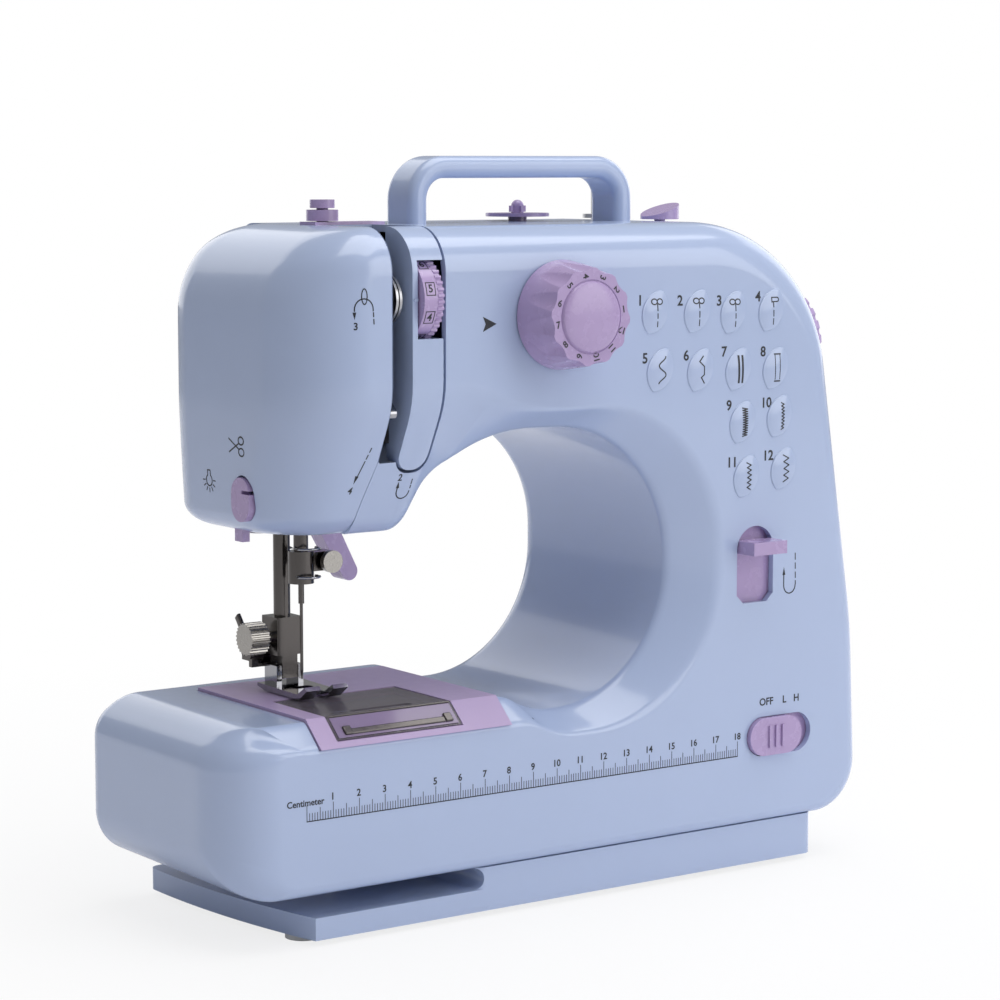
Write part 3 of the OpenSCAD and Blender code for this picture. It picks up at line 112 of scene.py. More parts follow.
def plastic(name, color, rough, vary, bump, coat=0.0):
    """Moulded plastic: faint flow marks in the colour, and a fine skin that varies the sheen."""
    m, tree, shader = new_material(name)
    place_in = add_node(tree, "TexCoord").outputs["Object"]
    flow = noise(tree, 14.0, 3.0, place_in)
    darker, paler = [c * (1 - vary) for c in color], [min(1, c * (1 + vary)) for c in color]
    color_between(tree, shader, flow, darker, paler, 0.3, 0.7)
    skin = noise(tree, 260.0, 4.0, place_in)
    roughness_between(tree, shader, skin, rough * 0.8, rough * 1.25)
    relief(tree, shader, skin, bump, 0.0002)
    shader.inputs["Coat Weight"].default_value = coat
    shader.inputs["Coat Roughness"].default_value = 0.06
    return m


def metal(name, color, rough, stretch=(1, 1, 12), scale=900.0):
    """Metal with drawn scratches along one direction."""
    m, tree, shader = new_material(name)
    turn = add_node(tree, "Mapping", Scale=[1 / s for s in stretch])
    tree.links.new(add_node(tree, "TexCoord").outputs["Object"], turn.inputs["Vector"])
    grain = noise(tree, scale, 3.0, turn.outputs["Vector"])
    roughness_between(tree, shader, grain, rough * 0.6, rough * 1.4)
    color_between(tree, shader, grain, [c * 0.8 for c in color], color)
    relief(tree, shader, grain, 0.08, 0.0001)
    shader.inputs["Metallic"].default_value = 1.0
    return m


def smoked(name):
    """Smoky see-through plastic."""
    m, tree, shader = new_material(name)
    cloud = noise(tree, 180.0)
    color_between(tree, shader, cloud, (0.16, 0.14, 0.17), (0.24, 0.21, 0.25))
    roughness_between(tree, shader, cloud, 0.08, 0.2)
    shader.inputs["Alpha"].default_value = 0.55
    return m


BLUE = plastic("blue_gloss", (0.42, 0.505, 0.715), rough=0.2, vary=0.012, bump=0.03, coat=0.35)
LILAC = plastic("lilac_gloss", (0.43, 0.325, 0.56), rough=0.26, vary=0.03, bump=0.05, coat=0.2)
# A darker lilac for the smoked cover's slope: painted light, the lit lilac sill as seen through the smoke.
LILAC_DEEP = plastic("lilac_shaded", (0.26, 0.20, 0.33), rough=0.12, vary=0.05, bump=0.05)
LILAC_PALE = plastic("lilac_satin", (0.47, 0.36, 0.585), rough=0.34, vary=0.03, bump=0.08)
INK = plastic("black_print", (0.012, 0.013, 0.02), rough=0.4, vary=0.1, bump=0.02)
DARK = plastic("dark_plastic", (0.02, 0.02, 0.024), rough=0.5, vary=0.15, bump=0.2)
WHITE = plastic("white_rubber", (0.78, 0.78, 0.76), rough=0.6, vary=0.03, bump=0.3)
BELT = plastic("belt_rubber", (0.015, 0.015, 0.015), rough=0.7, vary=0.2, bump=0.4)
CLEAR = plastic("milky_plastic", (0.8, 0.8, 0.78), rough=0.2, vary=0.02, bump=0.05)
BOARD = plastic("board_green", (0.03, 0.16, 0.07), rough=0.35, vary=0.2, bump=0.2)
CHROME = metal("chrome", (0.40, 0.40, 0.42), rough=0.1)
GUNMETAL = metal("dark_chrome", (0.13, 0.12, 0.115), rough=0.2)
STEEL = metal("brushed_steel", (0.55, 0.55, 0.56), rough=0.32)
NICKEL = metal("nickel", (0.45, 0.43, 0.40), rough=0.3, stretch=(1, 1, 1), scale=1600)
SMOKE = smoked("smoked_plastic")


# ---------------------------------------------------------------- mesh helpers
def link(name, data):
    o = bpy.data.objects.new(name, data)
    bpy.context.scene.collection.objects.link(o)
    return o


def evaluated(o):
    bpy.context.view_layer.update()
    return o.evaluated_get(bpy.context.evaluated_depsgraph_get())


def finish_mesh(o, angle, weighted=True):
    """Smooth shading, with sharp edges above an angle in degrees."""
    o.data.shade_smooth()
    o.data.set_sharp_from_angle(angle=math.radians(angle))
    if weighted:
        w = o.modifiers.new("weighted", "WEIGHTED_NORMAL")
        w.keep_sharp = True
        w.weight = 60


def ease(o, width, segments, angle, first=True):
    """Small bevels, in millimetres, on the edges above an angle in degrees."""
    b = o.modifiers.new("ease", "BEVEL")
    b.width = width / 1000
    b.segments = segments
    b.limit_method = "ANGLE"
    b.angle_limit = math.radians(angle)
    if first:
        o.modifiers.move(len(o.modifiers) - 1, 0)


def ink_film(o):
    film = o.modifiers.new("film", "SOLIDIFY")
    film.thickness = 0.00003
    film.offset = 0


def place(o, body, instead=None):
    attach(o, body)
    if instead:
        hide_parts(instead)


def mesh_object(name, points, faces, mat):
    """An object from points in metres, its doubles merged and its faces turned out."""
    me = bpy.data.meshes.new(name)
    me.from_pydata(points, [], faces)
    me.validate()
    bm = bmesh.new()
    bm.from_mesh(me)
    bmesh.ops.remove_doubles(bm, verts=bm.verts, dist=1e-7)
    bmesh.ops.recalc_face_normals(bm, faces=bm.faces)
    bm.to_mesh(me)
    bm.free()
    me.materials.append(mat)
    return link(name, me)


def in_metres(points):
    return [P(*p) for p in points]


def make(name, points, faces, mat, body, instead=None, slot=None, angle=38, weighted=True):
    """A smoothed piece from points in machine millimetres, which rides on a body."""
    o = mesh_object(name, in_metres(points), faces, mat)
    finish_mesh(o, angle, weighted)
    place(o, body, instead)
    return o


def ring_faces(rings, m, base=0):
    """Quads between rings of m points each, numbered on from base."""
    faces = []
    for j in range(rings - 1):
        for i in range(m):
            a, b = base + j * m + i, base + j * m + (i + 1) % m
            faces.append([a, b, b + m, a + m])
    return faces


def end_faces(rings, m, base=0):
    """The first and the last ring, each filled with one face."""
    last = base + (rings - 1) * m
    return [[base + i for i in range(m - 1, -1, -1)], [last + i for i in range(m)]]


AXIS_ORDER = {
    "x": lambda u, v, w: (w, u, v),
    "y": lambda u, v, w: (u, w, v),
    "z": lambda u, v, w: (u, v, w),
}


def prism(shape, axis, lo, hi):
    """Points and faces of an outline of (u, v) pairs pushed along x, y or z."""
    m = len(shape)
    put = AXIS_ORDER[axis]
    pts = [put(u, v, w) for w in (lo, hi) for u, v in shape]
    faces = [list(range(m)), list(range(2 * m - 1, m - 1, -1))]
    faces += [[i, (i + 1) % m, m + (i + 1) % m, m + i] for i in range(m)]
    return pts, faces


def around(x, y, r, degrees):
    a = math.radians(degrees)
    return x + r * math.cos(a), y + r * math.sin(a)


def circle(x, y, r, n=48):
    return [(x + r * math.cos(2 * math.pi * i / n), y + r * math.sin(2 * math.pi * i / n)) for i in range(n)]


def round_rect(x0, y0, x1, y1, r, n=8):
    corners = ((x1 - r, y0 + r, -90), (x1 - r, y1 - r, 0), (x0 + r, y1 - r, 90), (x0 + r, y0 + r, 180))
    return [around(x, y, r, start + 90 * i / n) for x, y, start in corners for i in range(n + 1)]


def box_part(x0, y0, z0, x1, y1, z1):
    return prism([(x0, z0), (x1, z0), (x1, z1), (x0, z1)], "y", y0, y1)


def solid(name, parts):
    """One object from several closed parts in machine millimetres."""
    bm = bmesh.new()
    for pts, faces in parts:
        vs = [bm.verts.new(P(*p)) for p in pts]
        for f in faces:
            bm.faces.new([vs[i] for i in f])
    bmesh.ops.recalc_face_normals(bm, faces=bm.faces)
    me = bpy.data.meshes.new(name)
    bm.to_mesh(me)
    bm.free()
    return link(name, me)


def bake(o):
    """Applies the modifiers of o."""
    me = bpy.data.meshes.new_from_object(evaluated(o))
    old = o.data
    o.modifiers.clear()
    o.data = me
    bpy.data.meshes.remove(old)


def boolean(o, tool, how, use_self):
    mod = o.modifiers.new("cut", "BOOLEAN")
    mod.operation = how
    mod.object = tool
    mod.solver = "EXACT"
    mod.use_self = use_self
    bake(o)
    bpy.data.objects.remove(tool)


def cut(o, part, how="DIFFERENCE"):
    """Takes one closed part from o, or keeps only what lies in it, and bakes the result."""
    boolean(o, solid("cutter", [part]), how, use_self=True)


def lathe(name, profile, origin, axis, mat, body, segments, radius=None, **kw):
    """A turned piece: profile of (radius, height) along an axis from origin.
    radius(r, h, angle) may shape each point."""
    pts, faces = [], []
    m = len(profile)
    for i in range(segments):
        a = 2 * math.pi * i / segments
        for r, h in profile:
            q = radius(r, h, a) if radius else r
            turned = AXIS_ORDER[axis](q * math.cos(a), q * math.sin(a), h)
            pts.append(tuple(o + t for o, t in zip(origin, turned)))
    for i in range(segments):
        for j in range(m - 1):
            a, b = i * m + j, ((i + 1) % segments) * m + j
            faces.append([a, a + 1, b + 1, b])
    return make(name, pts, faces, mat, body, **kw)


def sweep(name, path, section, mat, body, **kw):
    """Pushes a closed section of (side, up) pairs along an open path in millimetres."""
    pts = []
    n, m = len(path), len(section)
    path = [Vector(p) for p in path]
    for i, p in enumerate(path):
        along = (path[min(i + 1, n - 1)] - path[max(i - 1, 0)]).normalized()
        side = along.cross(Vector((0, 1, 0))).normalized()
        up = side.cross(along).normalized()
        pts += [tuple(p + side * u + up * v) for u, v in section]
    return make(name, pts, ring_faces(n, m) + end_faces(n, m), mat, body, weighted=False, **kw)


# ---------------------------------------------------------------- housing halves
ARC_STEPS = 4  # finer by this than a station's own count
EDGE_STEPS, INNER_EDGE_STEPS = 14, 4


def corner_arc(a, b, c, setback, n):
    """The round at corner b between a and c, which starts and ends setback away from it."""
    if n == 0:
        return [Vector(b)]
    a, b, c = Vector(a), Vector(b), Vector(c)
    u, v = (b - a).normalized(), (c - b).normalized()
    turn = math.atan2(u.x * v.y - u.y * v.x, u.dot(v))
    start = b - setback * u
    if abs(turn) < 0.009:
        return [start + 2 * setback * i / n * u for i in range(n + 1)]
    r = setback / math.tan(abs(turn) / 2)
    side = Vector((-u.y, u.x)) * (1 if turn > 0 else -1)
    return [start + r * (math.sin(w) * u + (1 - math.cos(w)) * side)
            for w in (abs(turn) * i / n for i in range(n + 1))]


def outline(stations, part):
    """The wall's outline (part 0) or the face's (part 1), in x and z."""
    out = []
    for i, s in enumerate(stations):
        before, after = stations[i - 1][part], stations[(i + 1) % len(stations)][part]
        out += corner_arc(before[:2], s[part][:2], after[:2], s[part][2], s[4] * ARC_STEPS)
    return out


def spread(stations, part):
    """A value for each point of the outline, from the stations' (from, to) pairs."""
    out = []
    for s in stations:
        n = s[4] * ARC_STEPS
        start, end = s[part][0], s[part][1]
        out += [start] if n == 0 else [start + (end - start) * i / n for i in range(n + 1)]
    return out


def inset(points, w):
    m = len(points)
    out = []
    for i in range(m):
        d = (points[(i + 1) % m] - points[i - 1]).normalized()
        out.append(points[i] + w * Vector((d.y, -d.x)))
    return out


def soft_chamfer(t):
    """(across, deep) of a chamfer with eased edges, t from 0 at the wall to 1 on the face."""
    e, bend = 0.16, 0.3
    if bend <= t <= 1 - bend:
        s = (t - bend) / (1 - 2 * bend)
        return e + (1 - 2 * e) * s, 1 - e - (1 - 2 * e) * s
    s = min(t, 1 - t) / bend
    near, far = s * s * e, (1 - s) ** 2 * (1 + e) + 2 * s * (1 - s) + s * s * (1 - e)
    return (near, far) if t < bend else (far, near)


def edge_ring(wall, face, depth, roundness, y0, t):
    """A ring on the edge between wall and face: a round where roundness is 1, a chamfer where it is 0."""
    chamfer_across, chamfer_deep = soft_chamfer(t)
    round_across, round_deep = 1 - math.cos(math.pi / 2 * t), 1 - math.sin(math.pi / 2 * t)
    out = []
    for w, f, d, k in zip(wall, face, depth, roundness):
        across = k * round_across + (1 - k) * chamfer_across
        deep = k * round_deep + (1 - k) * chamfer_deep
        q = w + (f - w) * across
        out.append((q.x, y0 + (d - y0) * deep, q.y))
    return out


def half_shell(name, stations, seam, face_y=0, into=1, hollow=True):
    """One half of the housing: its face at face_y, its open side seam millimetres from there."""
    wall, face = outline(stations, 0), outline(stations, 1)
    depth, roundness = spread(stations, 2), spread(stations, 3)
    rings = []
    if hollow:
        inner = inset(wall, WALL)
        inner_depth = [d + WALL * (1 - k) for d, k in zip(depth, roundness)]
        rings += [edge_ring(inner, face, inner_depth, roundness, WALL, j / INNER_EDGE_STEPS)
                  for j in range(INNER_EDGE_STEPS, -1, -1)]
        rings.append([(p.x, seam, p.y) for p in inner])
    rings.append([(p.x, seam, p.y) for p in wall])
    rings += [edge_ring(wall, face, depth, roundness, 0, j / EDGE_STEPS) for j in range(EDGE_STEPS + 1)]
    m = len(wall)
    pts = [(x, face_y + into * y, z) for ring in rings for x, y, z in ring]
    faces = [list(range(m)), [(len(rings) - 1) * m + i for i in range(m - 1, -1, -1)]]
    for j in range(len(rings) - 1):
        for i in range(m):
            a, b = j * m + i, j * m + (i + 1) % m
            faces.append([a, a + m, b + m, b])
    return mesh_object(name, in_metres(pts), faces, BLUE)


def crease_at(x):
    """The crease's height, which rises towards the arm."""
    return CREASE + 0.002 * (x - HEAD_LEFT - 27) ** 2


def head_turn(degrees, face_x):
    """A station on the head's upright corner, at an angle round it."""
    a = math.radians(degrees)
    depth = LEAN + TURN_R * (1 - math.cos(a))
    return [[HEAD_LEFT + 2 + TURN_R * (1 - math.sin(a)), HEAD_BOTTOM, 0],
            [face_x, crease_at(face_x), 0], [depth, 0], [0, 0], 0]


# A station is [x, z, setback] on the wall, the same on the face, the edge's depth from and to,
# its roundness from and to, and the number of steps round the corner.
TZ0, TZ1, TW = THROAT_Z0, THROAT_Z1, THROAT_BEVEL
END_CREASE = HEAD_END + 16
FRONT = [
    [[0, BED_BOTTOM, 18], [20, BED_BOTTOM + 4, 6], [4, 22], [1, 1], 4],
    [[0, 65, 6], [20, 62, 2], [22, 22], [1, 1], 2],
    [[11, BED_TOP, 6], [26, 65, 3], [22, 9], [1, 0], 4],
    [[114, BED_TOP, 3], [119, 65, 5], [9, 9], [0, 0], 2],
    [[125, TZ0, 9], [130, TZ0 - TW, 9], [9, 10], [0, 0], 2],
    [[THROAT_X, TZ0, THROAT_R], [THROAT_X + 17, TZ0 - TW, THROAT_R + 7], [10, 10], [0, 0], 9],
    [[THROAT_X, TZ1, THROAT_R], [THROAT_X + 17, TZ1 + TW, THROAT_R + 7], [10, 10], [0, 0], 9],
    [[112, TZ1 + 1, 14], [117, TZ1 + TW, 14], [10, 13], [0, 0], 3],
    [[HEAD_END + 7, HEAD_BOTTOM + 19, 8], [END_CREASE, crease_at(END_CREASE), 8], [14, LEAN - 3], [0, 0], 3],
    [[HEAD_END, HEAD_BOTTOM, 5], [HEAD_END + 1, crease_at(HEAD_END + 1), 4], [LEAN - 1, LEAN], [0, 0], 3],
    head_turn(0, 69),
    head_turn(20, 65),
    head_turn(40, 61),
    [[HEAD_LEFT + 2, HEAD_BOTTOM, 4], [56, CREASE, 2], [LEAN + 0.4 * TURN_R, LEAN + TURN_R], [0, 0], 4],
    [[HEAD_LEFT, CREASE, 0], [55.7, CREASE + 4, 0], [27, 0], [1, 0], 0],
    [[HEAD_LEFT, TOP, 30], [56, TOP - 15, 10], [27, 15], [1, 1], 6],
    [[SIDE_X, TOP, 48], [SIDE_X - 7, TOP - 15, 42], [15, 7], [1, 1], 7],
    [[BEND_X, BEND_Z, 10], [BEND_X - 7, BEND_Z, 10], [7, 7], [1, 1], 1],
    [[BODY, BED_BOTTOM, 20], [BODY - 7, BED_BOTTOM + 4, 15], [7, 4], [1, 1], 4],
]


def back_edge(x):
    """The height of the back face's lower edge under the head."""
    return HEAD_BOTTOM + 10 + 0.004 * (x - 39) ** 2


BACK_FACE = [
    [10, BED_BOTTOM + 4, 12], [10, 60, 2], [18, 63, 3], [117, 63, 4], [125, TZ0 - TW, 6],
    [THROAT_X + 7.5, TZ0 - TW, THROAT_R + 2], [THROAT_X + 7.5, TZ1 + 10, THROAT_R + 2],
    [110, TZ1 + 10, 12], [HEAD_END - 2, HEAD_BOTTOM + 28, 6], [70, back_edge(70), 3],
    [63, back_edge(63), 0], [60, back_edge(60), 0], [57, back_edge(57), 0], [52, back_edge(52), 2],
    [51.7, CREASE, 0], [52, TOP - 10, 12], [SIDE_X - 10, TOP - 10, 42], [BEND_X - 10, BEND_Z, 10],
    [BODY - 10, BED_BOTTOM + 4, 14],
]
BACK_DEPTHS = {0: [4, 10], 12: [10, 14], 13: [14, 23], 14: [23, 23], 15: [23, 10], 18: [10, 4]}
BACK = [[front_station[0], face, BACK_DEPTHS.get(i, [10, 10]), [1, 1], front_station[4]]
        for i, (front_station, face) in enumerate(zip(FRONT, BACK_FACE))]

# The head cover's share of the housing, in x and z.
HEAD_SIDE = [(-5, 120), (59, 120), (59, 134), (60.2, 143), (62.5, 155.5), (62.5, 240.5), (-5, 240.5)]
HEAD_GAP = 0.25


def strip_area(x0, x1, z0, r):
    """A tongue from z0 up past the top, with rounded corners."""
    return round_rect(x0, z0, x1, TOP + 8 + r, r)


def pill(x, z, w, h):
    return round_rect(x - w / 2, z - h / 2, x + w / 2, z + h / 2, min(w, h) / 2 - 0.01, 12)


def reverse_opening():
    """An upright slot with a round top and two cut corners at its foot."""
    x, z = REVERSE_X, REVERSE_Z
    half_w, half_h, corner = 8.4, 13.75, 3
    arch = [around(x, z + half_h - half_w, half_w, a) for a in range(0, 181, 8)]
    right_foot = [(x + half_w - corner, z - half_h), (x + half_w, z - half_h + corner)]
    left_foot = [(x - half_w, z - half_h + corner), (x - half_w + corner, z - half_h)]
    return right_foot + arch + left_foot


def skin(o, node, slot="body_blue"):
    finish_mesh(o, 30)
    place(o, "housing", node)


shaft_hole = prism(circle(SEAM, SHAFT_Z, 4.3), "x", 236, 274)
winder_hole = prism(circle(211, SEAM, 2.05), "z", TOP - 12, TOP + 8)
plate_pocket = box_part(34, -1, 65, 110, 80, 79)
bar_opening = prism(round_rect(48.9, 43, 66.4, 67.7, 5), "z", 126, 135.4)
shared = [shaft_hole, winder_hole, plate_pocket, bar_opening]
head_room = prism([(x + (HEAD_GAP if x > 0 else 0), z) for x, z in HEAD_SIDE], "y", -5, 103)

front = half_shell("front_skin", FRONT, SEAM)
for part in (
    head_room,
    prism(strip_area(GROOVE0 + 0.3, GROOVE1 + 1, STRIP_Z + 3, 1), "y", -5, 44),
    prism(strip_area(GROOVE1, STRIP1 + 1, STRIP_Z - 1, 6), "y", -5, 44),
    *shared,
    prism(circle(DIAL_X, DIAL_Z, 6.3), "y", -3, 7),
    prism(pill(POWER_X, POWER_Z, 30.1, 14.3), "y", -3, 7),
    prism(reverse_opening(), "y", -3, 7),
):
    cut(front, part)
skin(front, "front_housing")

back = half_shell("rear_skin", BACK, DEPTH - SEAM, DEPTH, -1)
lifter_slot = box_part(65, 65.5, 127, 99, 75.1, 147.5)
spindle_hole = prism(circle(198.5, 69, 3.05), "z", TOP - 8, TOP + 4)
spool_hole = prism(circle(159.5, 66, 3.7), "z", TOP - 6, TOP + 6)
jack_holes = [prism(circle(x, 32, 5.8), "y", 90, 106) for x in (213, 237)]
for part in (head_room, *shared, lifter_slot, spindle_hole, spool_hole, *jack_holes):
    cut(back, part)
skin(back, "rear_housing")


# ---------------------------------------------------------------- head cover
SIDE_ROUND, FRONT_ROUND, BACK_ROUND = 30, 15, 10  # the head's upper edges
FOOT_ROUND, REAR_CORNER = 7.0, 23
CREASE_SOFT = 7.0
CORNER_STEPS = 18


def lean_at(z):
    """How far the head's front stands back at height z, with the crease softened."""
    slope = LEAN / (CREASE - HEAD_BOTTOM)
    if z >= CREASE + CREASE_SOFT:
        return 0.0
    if z <= CREASE - CREASE_SOFT:
        return slope * (CREASE - z)
    return slope * (CREASE + CREASE_SOFT - z) ** 2 / (4 * CREASE_SOFT)


def top_round(z, r):
    """How far an upper edge with radius r pulls in at height z."""
    over = max(0, z - (TOP - r))
    return r - math.sqrt(max(0, r * r - over ** 2))


def head_section(z, push, right):
    """Outline of the head at height z, pulled in by push, from the front right corner round the left."""
    low = max(0.0, (CREASE - z) / (CREASE - HEAD_BOTTOM))
    top = max(0.0, min(1.0, (z - (TOP - SIDE_ROUND)) / SIDE_ROUND))
    left = HEAD_LEFT + 2 * low ** 1.3 + push + top_round(z, SIDE_ROUND)
    face = lean_at(z) + push + top_round(z, FRONT_ROUND)
    rear = DEPTH - push - top_round(z, BACK_ROUND)
    xc = 56 + 4.5 * top * top - 3 * low
    yc = 27 + lean_at(z) * (1 - 0.12 * low) + push
    out = [(right, face), ((right + xc) / 2, face)]
    angles = [math.pi / 2 * i / CORNER_STEPS for i in range(CORNER_STEPS + 1)]
    out += [(xc - (xc - left) * math.sin(a), yc - (yc - face) * math.cos(a)) for a in angles]
    out += [(left + REAR_CORNER - REAR_CORNER * math.cos(a), rear - REAR_CORNER + REAR_CORNER * math.sin(a))
            for a in angles]
    return out + [((right + left + REAR_CORNER) / 2, rear), (right, rear)]


def head_levels():
    """(height, pull) of the head's sections from the rounded foot to the top."""
    r = FOOT_ROUND
    out = [(HEAD_BOTTOM + r - r * math.cos(math.radians(a)), r - r * math.sin(math.radians(a)))
           for a in range(0, 91, 9)]
    z = HEAD_BOTTOM + r
    while z < TOP - SIDE_ROUND - 2:
        z += 2.5
        out.append((min(z, TOP - SIDE_ROUND), 0))
    out += [(TOP - SIDE_ROUND + SIDE_ROUND * math.sin(math.radians(a)), 0) for a in range(4, 91, 3)]
    return out


def head_block(name, shrink, right):
    pts = []
    levels = head_levels()
    for z, push in levels:
        section = head_section(z, push + shrink, right)
        height = CREASE + (z - CREASE) * (1 - shrink / 50)
        pts += [(x, y, height) for x, y in section]
    m = len(section)
    faces = ring_faces(len(levels), m) + end_faces(len(levels), m)
    return mesh_object(name, in_metres(pts), faces, BLUE)


cover = head_block("head_skin", 0, 68)
boolean(cover, head_block("head_hollow", WALL, 75), "DIFFERENCE", use_self=False)
cut(cover, prism(HEAD_SIDE, "y", -5, 103), "INTERSECT")
lamp_hole = prism(circle(43, 52, 3.45), "z", 127, 137)
switch_opening = box_part(35, 46.7, 127, 38.4, 55.3, 136)
cutter_pocket = prism(pill(40.6, 143.3, 12.2, 15.4), "x", 24, 34)
for part in (bar_opening, lamp_hole, switch_opening, cutter_pocket):
    cut(cover, part)
skin(cover, "head_cover")

# ---------------------------------------------------------------- guide strip between the two grooves
strip = half_shell("strip_skin", FRONT, SEAM, hollow=False)
cut(strip, prism(strip_area(STRIP0, STRIP1, STRIP_Z, 5.5), "y", -5, 16), "INTERSECT")
cut(strip, box_part(TENSION_X - 0.6, -3, TENSION_Z - 12.8, STRIP1 + 1, 30, TENSION_Z + 12.8))
skin(strip, "guide_strip")
# The thread channel is a floor behind the groove and two blocks beside the tension dial, in dark plastic. It
# is an inner piece, and its black is painted shade where the groove's openings and the gap by the tension
# dial lie in shadow.
floor_parts = [box_part(GROOVE0 - 2.5, 14.5, STRIP_Z + 9, STRIP1 + 2.5, 16.5, TOP - 8)]
for x in (GROOVE0 + 0.4, STRIP1 + 0.3):
    floor_parts.append(box_part(x, 3.6, TENSION_Z - 5, x + 2.2, 15.5, TENSION_Z + 5))
channel = solid("channel_skin", floor_parts)
channel.data.materials.append(DARK)
skin(channel, "thread_channel", "dark_plastic")
for o in (front, cover, strip):
    ease(o, 0.5, 2, 55)

# ---------------------------------------------------------------- leaves under the stitch pictures
LEAF_HALF_W, LEAF_HALF_L, LEAF_TILT = 5.6, 8.1, -24
LEAF_R = (LEAF_HALF_W ** 2 + LEAF_HALF_L ** 2) / (2 * LEAF_HALF_W)
LEAF_OFF = LEAF_R - LEAF_HALF_W
LEAF_POINTS, DOME_STEPS = 40, 8
DOME_EDGE, DOME_EDGE_Y, DOME_HEIGHT = 0.93, -0.42, 0.75
LEAVES = [
    (170.4, 202.2), (188.9, 202.0), (205.2, 201.2), (222.6, 201.4),
    (172.7, 182.2), (190.5, 181.5), (207.7, 181.1), (224.8, 180.8),
    (209.8, 162.3), (226.9, 163.6), (211.8, 143.0), (229.0, 144.8),
]


def leaf_outline():
    """A lens shape from two arcs, round its middle."""
    out = []
    for i in range(LEAF_POINTS):
        a = 2 * math.pi * i / LEAF_POINTS
        c, s = math.cos(a), math.sin(a)
        side = LEAF_OFF * (-1 if c > 0 else 1)
        q = c * side + math.sqrt((c * side) ** 2 + LEAF_R ** 2 - LEAF_OFF ** 2)
        out.append((q * c, q * s))
    return out


def leaves():
    """A shallow dome under each stitch picture, as (share of the outline, y) rings."""
    c, s = math.cos(math.radians(LEAF_TILT)), math.sin(math.radians(LEAF_TILT))
    shape = leaf_outline()
    rings = [(1.03, 0.3), (1.0, -0.15), (0.97, -0.4)]
    for i in range(DOME_STEPS):
        k = DOME_EDGE * (1 - (i / DOME_STEPS) ** 1.2)
        rings.append((k, DOME_EDGE_Y - DOME_HEIGHT * (1 - (k / DOME_EDGE) ** 2)))
    pts, faces = [], []
    for x, z in LEAVES:
        base = len(pts)
        pts += [(x + k * (u * c - v * s), y, z + k * (u * s + v * c)) for k, y in rings for u, v in shape]
        faces += ring_faces(len(rings), len(shape), base) + end_faces(len(rings), len(shape), base)
    return make("stitch_leaves", pts, faces, BLUE, "housing", slot="body_blue", angle=50, weighted=False)


leaf_piece = leaves()

# ---------------------------------------------------------------- stitch dial
SKIRT_R, SKIRT_H, SKIRT_TAPER, CAP_R = 18.6, 17.0, 2.3, 15
SCALLOPS, FIRST_SCALLOP = 12, 10  # the first one's angle in degrees


def dial_radius(r, h, a):
    """The skirt's radius with twelve scallops, whose apexes point to the panel."""
    if r < CAP_R:
        return r
    skirt = SKIRT_R - SKIRT_TAPER * h / SKIRT_H
    step = 360 / SCALLOPS
    off = (math.degrees(a) - FIRST_SCALLOP + step / 2) % step - step / 2
    scoop = 17.9 - 0.22 * (h - 5) + 0.0075 * off * off
    return min(r, skirt, scoop)


def stitch_dial():
    profile = [(0, -0.3), (18.2, -0.3), (18.6, -0.8)]
    profile += [(18.6, -h / 2) for h in range(3, 34)]
    profile += [(18.6, -16.9), (18.5, -17.05), (13.8, -17.05), (12.4, -17.05)]
    profile += [(12.2, -16.75), (12.0, -16.75), (11.8, -17.2)]
    for degrees in range(0, 91, 9):
        a = math.radians(degrees)
        profile.append((11.6 * math.cos(a), -17.5 - 1.5 * math.sin(a)))
    return lathe("stitch_dial_skin", profile, (DIAL_X, 0, DIAL_Z), "y", LILAC, "stitch", segments=360,
                 radius=lambda r, h, a: dial_radius(r, -h, a), instead="stitch_dial", slot="lilac", angle=13)


dial = stitch_dial()

# ---------------------------------------------------------------- printing
PEN, FINE_PEN, STRONG_PEN = 0.4, 0.3, 0.45
CAP_SHARE = 0.7  # a capital's height as a share of the font's size
LIFT = 0.00004  # metres between a surface and its ink
FIGURE = 2.3  # height of the small figures


def glyph(text, height):
    """Flat letters, centred, as points and faces of their own plane."""
    cu = bpy.data.curves.new("letters", "FONT")
    cu.body = text
    cu.size = height / CAP_SHARE
    cu.align_x = cu.align_y = "CENTER"
    cu.resolution_u = 3
    cu.offset = 0.03 * height
    o = link("letters", cu)
    me = bpy.data.meshes.new_from_object(evaluated(o))
    pts = [(v.co.x, v.co.y) for v in me.vertices]
    faces = [list(f.vertices) for f in me.polygons]
    bpy.data.objects.remove(o)
    bpy.data.meshes.remove(me)
    return pts, faces


def join(out, more):
    k = len(out[0])
    out[0].extend(more[0])
    out[1].extend([[i + k for i in f] for f in more[1]])


def drawing(*shapes):
    """Several shapes as one."""
    out = ([], [])
    for shape in shapes:
        join(out, shape)
    return out


def line(points, w=PEN, dashes=None):
    """A pen line through points, or its dashes as (from, to) shares of its length.
    It is cut into short quads, so that it follows a domed surface."""
    points = [Vector(p) for p in points]
    if dashes:
        start, end = points[0], points[-1]
        return drawing(*[line([start.lerp(end, a), start.lerp(end, b)], w) for a, b in dashes])
    pts, faces = [], []
    for a, b in zip(points, points[1:]):
        t = (b - a).normalized()
        n = Vector((-t.y, t.x)) * w / 2
        a, b = a - t * w * 0.4, b + t * w * 0.4
        parts = max(1, math.ceil((b - a).length / 0.9))
        k = len(pts)
        for i in range(parts + 1):
            q = a.lerp(b, i / parts)
            pts += [tuple(q - n), tuple(q + n)]
        faces += [[k + 2 * i, k + 2 * i + 2, k + 2 * i + 3, k + 2 * i + 1] for i in range(parts)]
    return pts, faces


def arc(x, z, rx, rz, a0, a1, n=14):
    angles = [math.radians(a0 + (a1 - a0) * i / n) for i in range(n + 1)]
    return [(x + rx * math.cos(a), z + rz * math.sin(a)) for a in angles]


